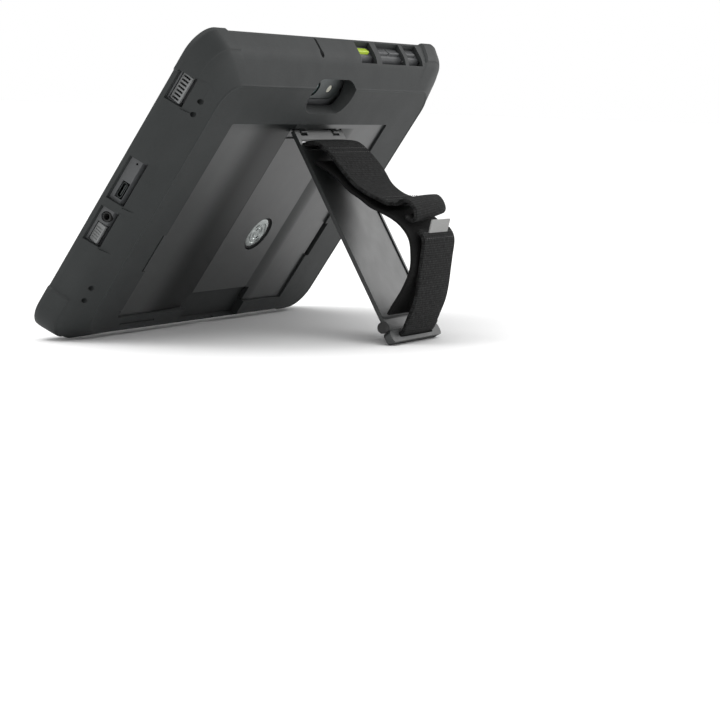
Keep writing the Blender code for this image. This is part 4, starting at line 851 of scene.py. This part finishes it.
# The socket's steel is darkened as painted shade inside its window.
finish(bevel(usb, 0.08, 2, 50), steel_painted_shade, "tablet", "bright_metal", "usb_c_port")
jack = lathe("jack_barrel", [(1.75, -0.1), (1.95, -0.2), (2.4, -0.2), (2.6, 0), (2.6, 7.4), (1.75, 7.4)],
             (side_x, JACK_Y * MM, PORT_Z * MM), "X", 64, closed=True)
finish(jack, dark_rubber, "tablet", "battery_wrap", "audio_jack")
door = slab("door_moulding", side_x - PROUD * MM, side_x + 1.5 * MM, DOOR_Y[0] * MM, DOOR_Y[1] * MM,
            DOOR_Z[0] * MM, DOOR_Z[1] * MM)
bevel(door, 0.3, 2)
for k in range(5):
    y = DOOR_Y[0] + 1.9 + k * 1.5
    cut(door, slab("t", side_x - 2 * MM, side_x - (PROUD - 0.4) * MM, y * MM, (y + 0.7) * MM,
                   (DOOR_Z[0] + 0.6) * MM, (DOOR_Z[1] - 0.6) * MM))
finish(door, grille_grey, "tablet", "tablet_housing", "card_door")

# ---------------- inside of the case ----------------
# Under the tablet: a printed grey stiffening band moulded to the floor, four soft blue cushions with a
# pressed crease, a notched square of open-cell foam, and the two rivets of the latch.
BAND_Z = (FLOOR_Z - GAP - 0.7 * MM, FLOOR_Z - GAP)
grey_band = surface(
    "grey_film", CASE, lambda p: p.noise(0.2, 3).blend((0.12, 0.125, 0.125), (0.17, 0.175, 0.175)),
    lambda p: 0.45 + p.noise(0.6, 2) * 0.12,
    lambda p: (p.axis(0) * 3.0 + p.axis(1) * 3.0).sine() * (p.axis(0) * 3.0 - p.axis(1) * 3.0).sine(), 0.02)
band = slab("stiff_band", -89 * MM, 89 * MM, -55 * MM, 45 * MM, *BAND_Z, 26 * MM, 16)
cut(band, slab("t", -80 * MM, 80 * MM, -46 * MM, 36 * MM, BAND_Z[0] - 1 * MM, BAND_Z[1] + 1 * MM, 20 * MM, 16))
finish(bevel(band, 0.12, 2), grey_band, "case", "grey_band", "stiffening_frame")
blue = surface("blue_gel", CASE, lambda p: p.noise(0.25, 2).blend((0.03, 0.17, 0.62), (0.05, 0.23, 0.74)),
               lambda p: 0.42 + p.noise(1.0, 2) * 0.1, lambda p: p.noise(1.6, 3), 0.05, coat=0.15)
for k, (sx, sy) in enumerate(((-1, 1), (1, 1), (1, -1), (-1, -1))):
    cx, cy, way = sx * 84.0, -5 + sy * 47.0, math.atan2(sy * 0.7, sx)
    corners = []
    for lobe in range(3):
        a = math.radians(120 * lobe) + way
        corners += [(cx + 12.6 * math.cos(a + b) * f, cy + 12.6 * math.sin(a + b) * f)
                    for b, f in ((-0.52, 0.88), (-0.21, 1.0), (0.21, 1.0), (0.52, 0.88))]
    start = ((corners[0][0] + corners[-1][0]) / 2, (corners[0][1] + corners[-1][1]) / 2)
    outline = rounded_path([start] + corners + [start], [1.2] * 12, 5)[:-1]
    z1 = BAND_Z[0] / MM - 0.3
    pad = loft([[Vector((cx + (x - cx) * f, cy + (y - cy) * f, z)) * MM for x, y in outline]
                for f, z in ((0.80, z1 - 1.75), (0.90, z1 - 1.7), (0.96, z1 - 1.45), (1.0, z1 - 0.9),
                             (1.0, z1))],
               "cushion_%d" % (k + 1))
    crease = slab("t", -4.5 * MM, 4.5 * MM, -0.4 * MM, 0.4 * MM, (z1 - 3) * MM, (z1 - 1.2) * MM)
    crease.data.transform(Matrix.Translation((cx * MM, cy * MM, 0)) @ Matrix.Rotation(way + 1.2, 4, "Z"))
    finish(bevel(cut(pad, crease), 0.12, 2), blue, "case", "blue_pad", "corner_pad_%d" % (k + 1))
# The foam's colour follows its bump, darker where the surface is low: painted shade in the pores, over its own
# near-black tone.
foam_painted_shade = surface(
    "open_cell_foam_painted_pore_shade", CASE,
    lambda p: p.noise(2.2, 4).ramp(0.35, 0.65).blend((0.006, 0.006, 0.006), (0.035, 0.032, 0.029)),
    0.95, lambda p: p.noise(2.2, 4) + p.noise(6.0, 2) * 0.5, 0.35, spec=0.15)
foam = slab("foam_square", -28 * MM, 28 * MM, -26 * MM, 26 * MM, 12.9 * MM, FLOOR_Z - GAP, 2.0 * MM, 6)
cut(foam, slab("t", -17 * MM, 17 * MM, -30 * MM, -9 * MM, 5 * MM, 20 * MM, 2 * MM, 6))
finish(bevel(foam, 0.5, 3), foam_painted_shade, "case", "foam", "foam_pad")
for k, x in enumerate((-8.5, 8.5)):
    finish(lathe("rivet_%d" % (k + 1), [(0, 14.2), (2.4, 14.25), (3.6, 14.4), (4.0, 14.7), (4.5, 15.5),
                                        (4.5, 15.6), (0, 15.6)], (x * MM, -17 * MM, 0), steps=48),
           bright_steel, "case", "bright_metal", "panel_rivet_%d" % (k + 1))

# ---------------- parts sealed in the tablet ----------------
# The screen module, pressed chassis, battery, boards, speakers, cameras and motor keep their plain
# solids and take the finish of the real part: film, etched steel, solder mask.
film = surface("dark_film", CASE, lambda p: p.noise(0.2, 3).blend((0.05, 0.05, 0.055), (0.09, 0.09, 0.1)),
               lambda p: 0.4 + p.noise(0.5, 2) * 0.15, lambda p: p.noise(1.5, 2), 0.03)
mask = surface(
    "solder_mask", CASE,
    lambda p: ((p.axis(0) * 2.5).sine() * (p.axis(1) * 2.5).sine()).ramp(0.2, 0.4)
    .blend((0.01, 0.11, 0.05), (0.03, 0.2, 0.1)),
    lambda p: 0.35 + p.noise(0.6, 2) * 0.1,
    lambda p: (p.axis(0) * 2.5).sine() * (p.axis(1) * 2.5).sine(), 0.02)
for names, mat in ((("display_module", "battery", "rear_camera", "front_camera", "speaker_box_upper",
                     "speaker_box_lower"), film), (("chassis_plate", "vibration_motor"), bright_steel),
                   (("mainboard", "button_board"), mask)):
    for name in names:
        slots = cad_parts[name].data.materials
        slots.clear()
        slots.append(mat)
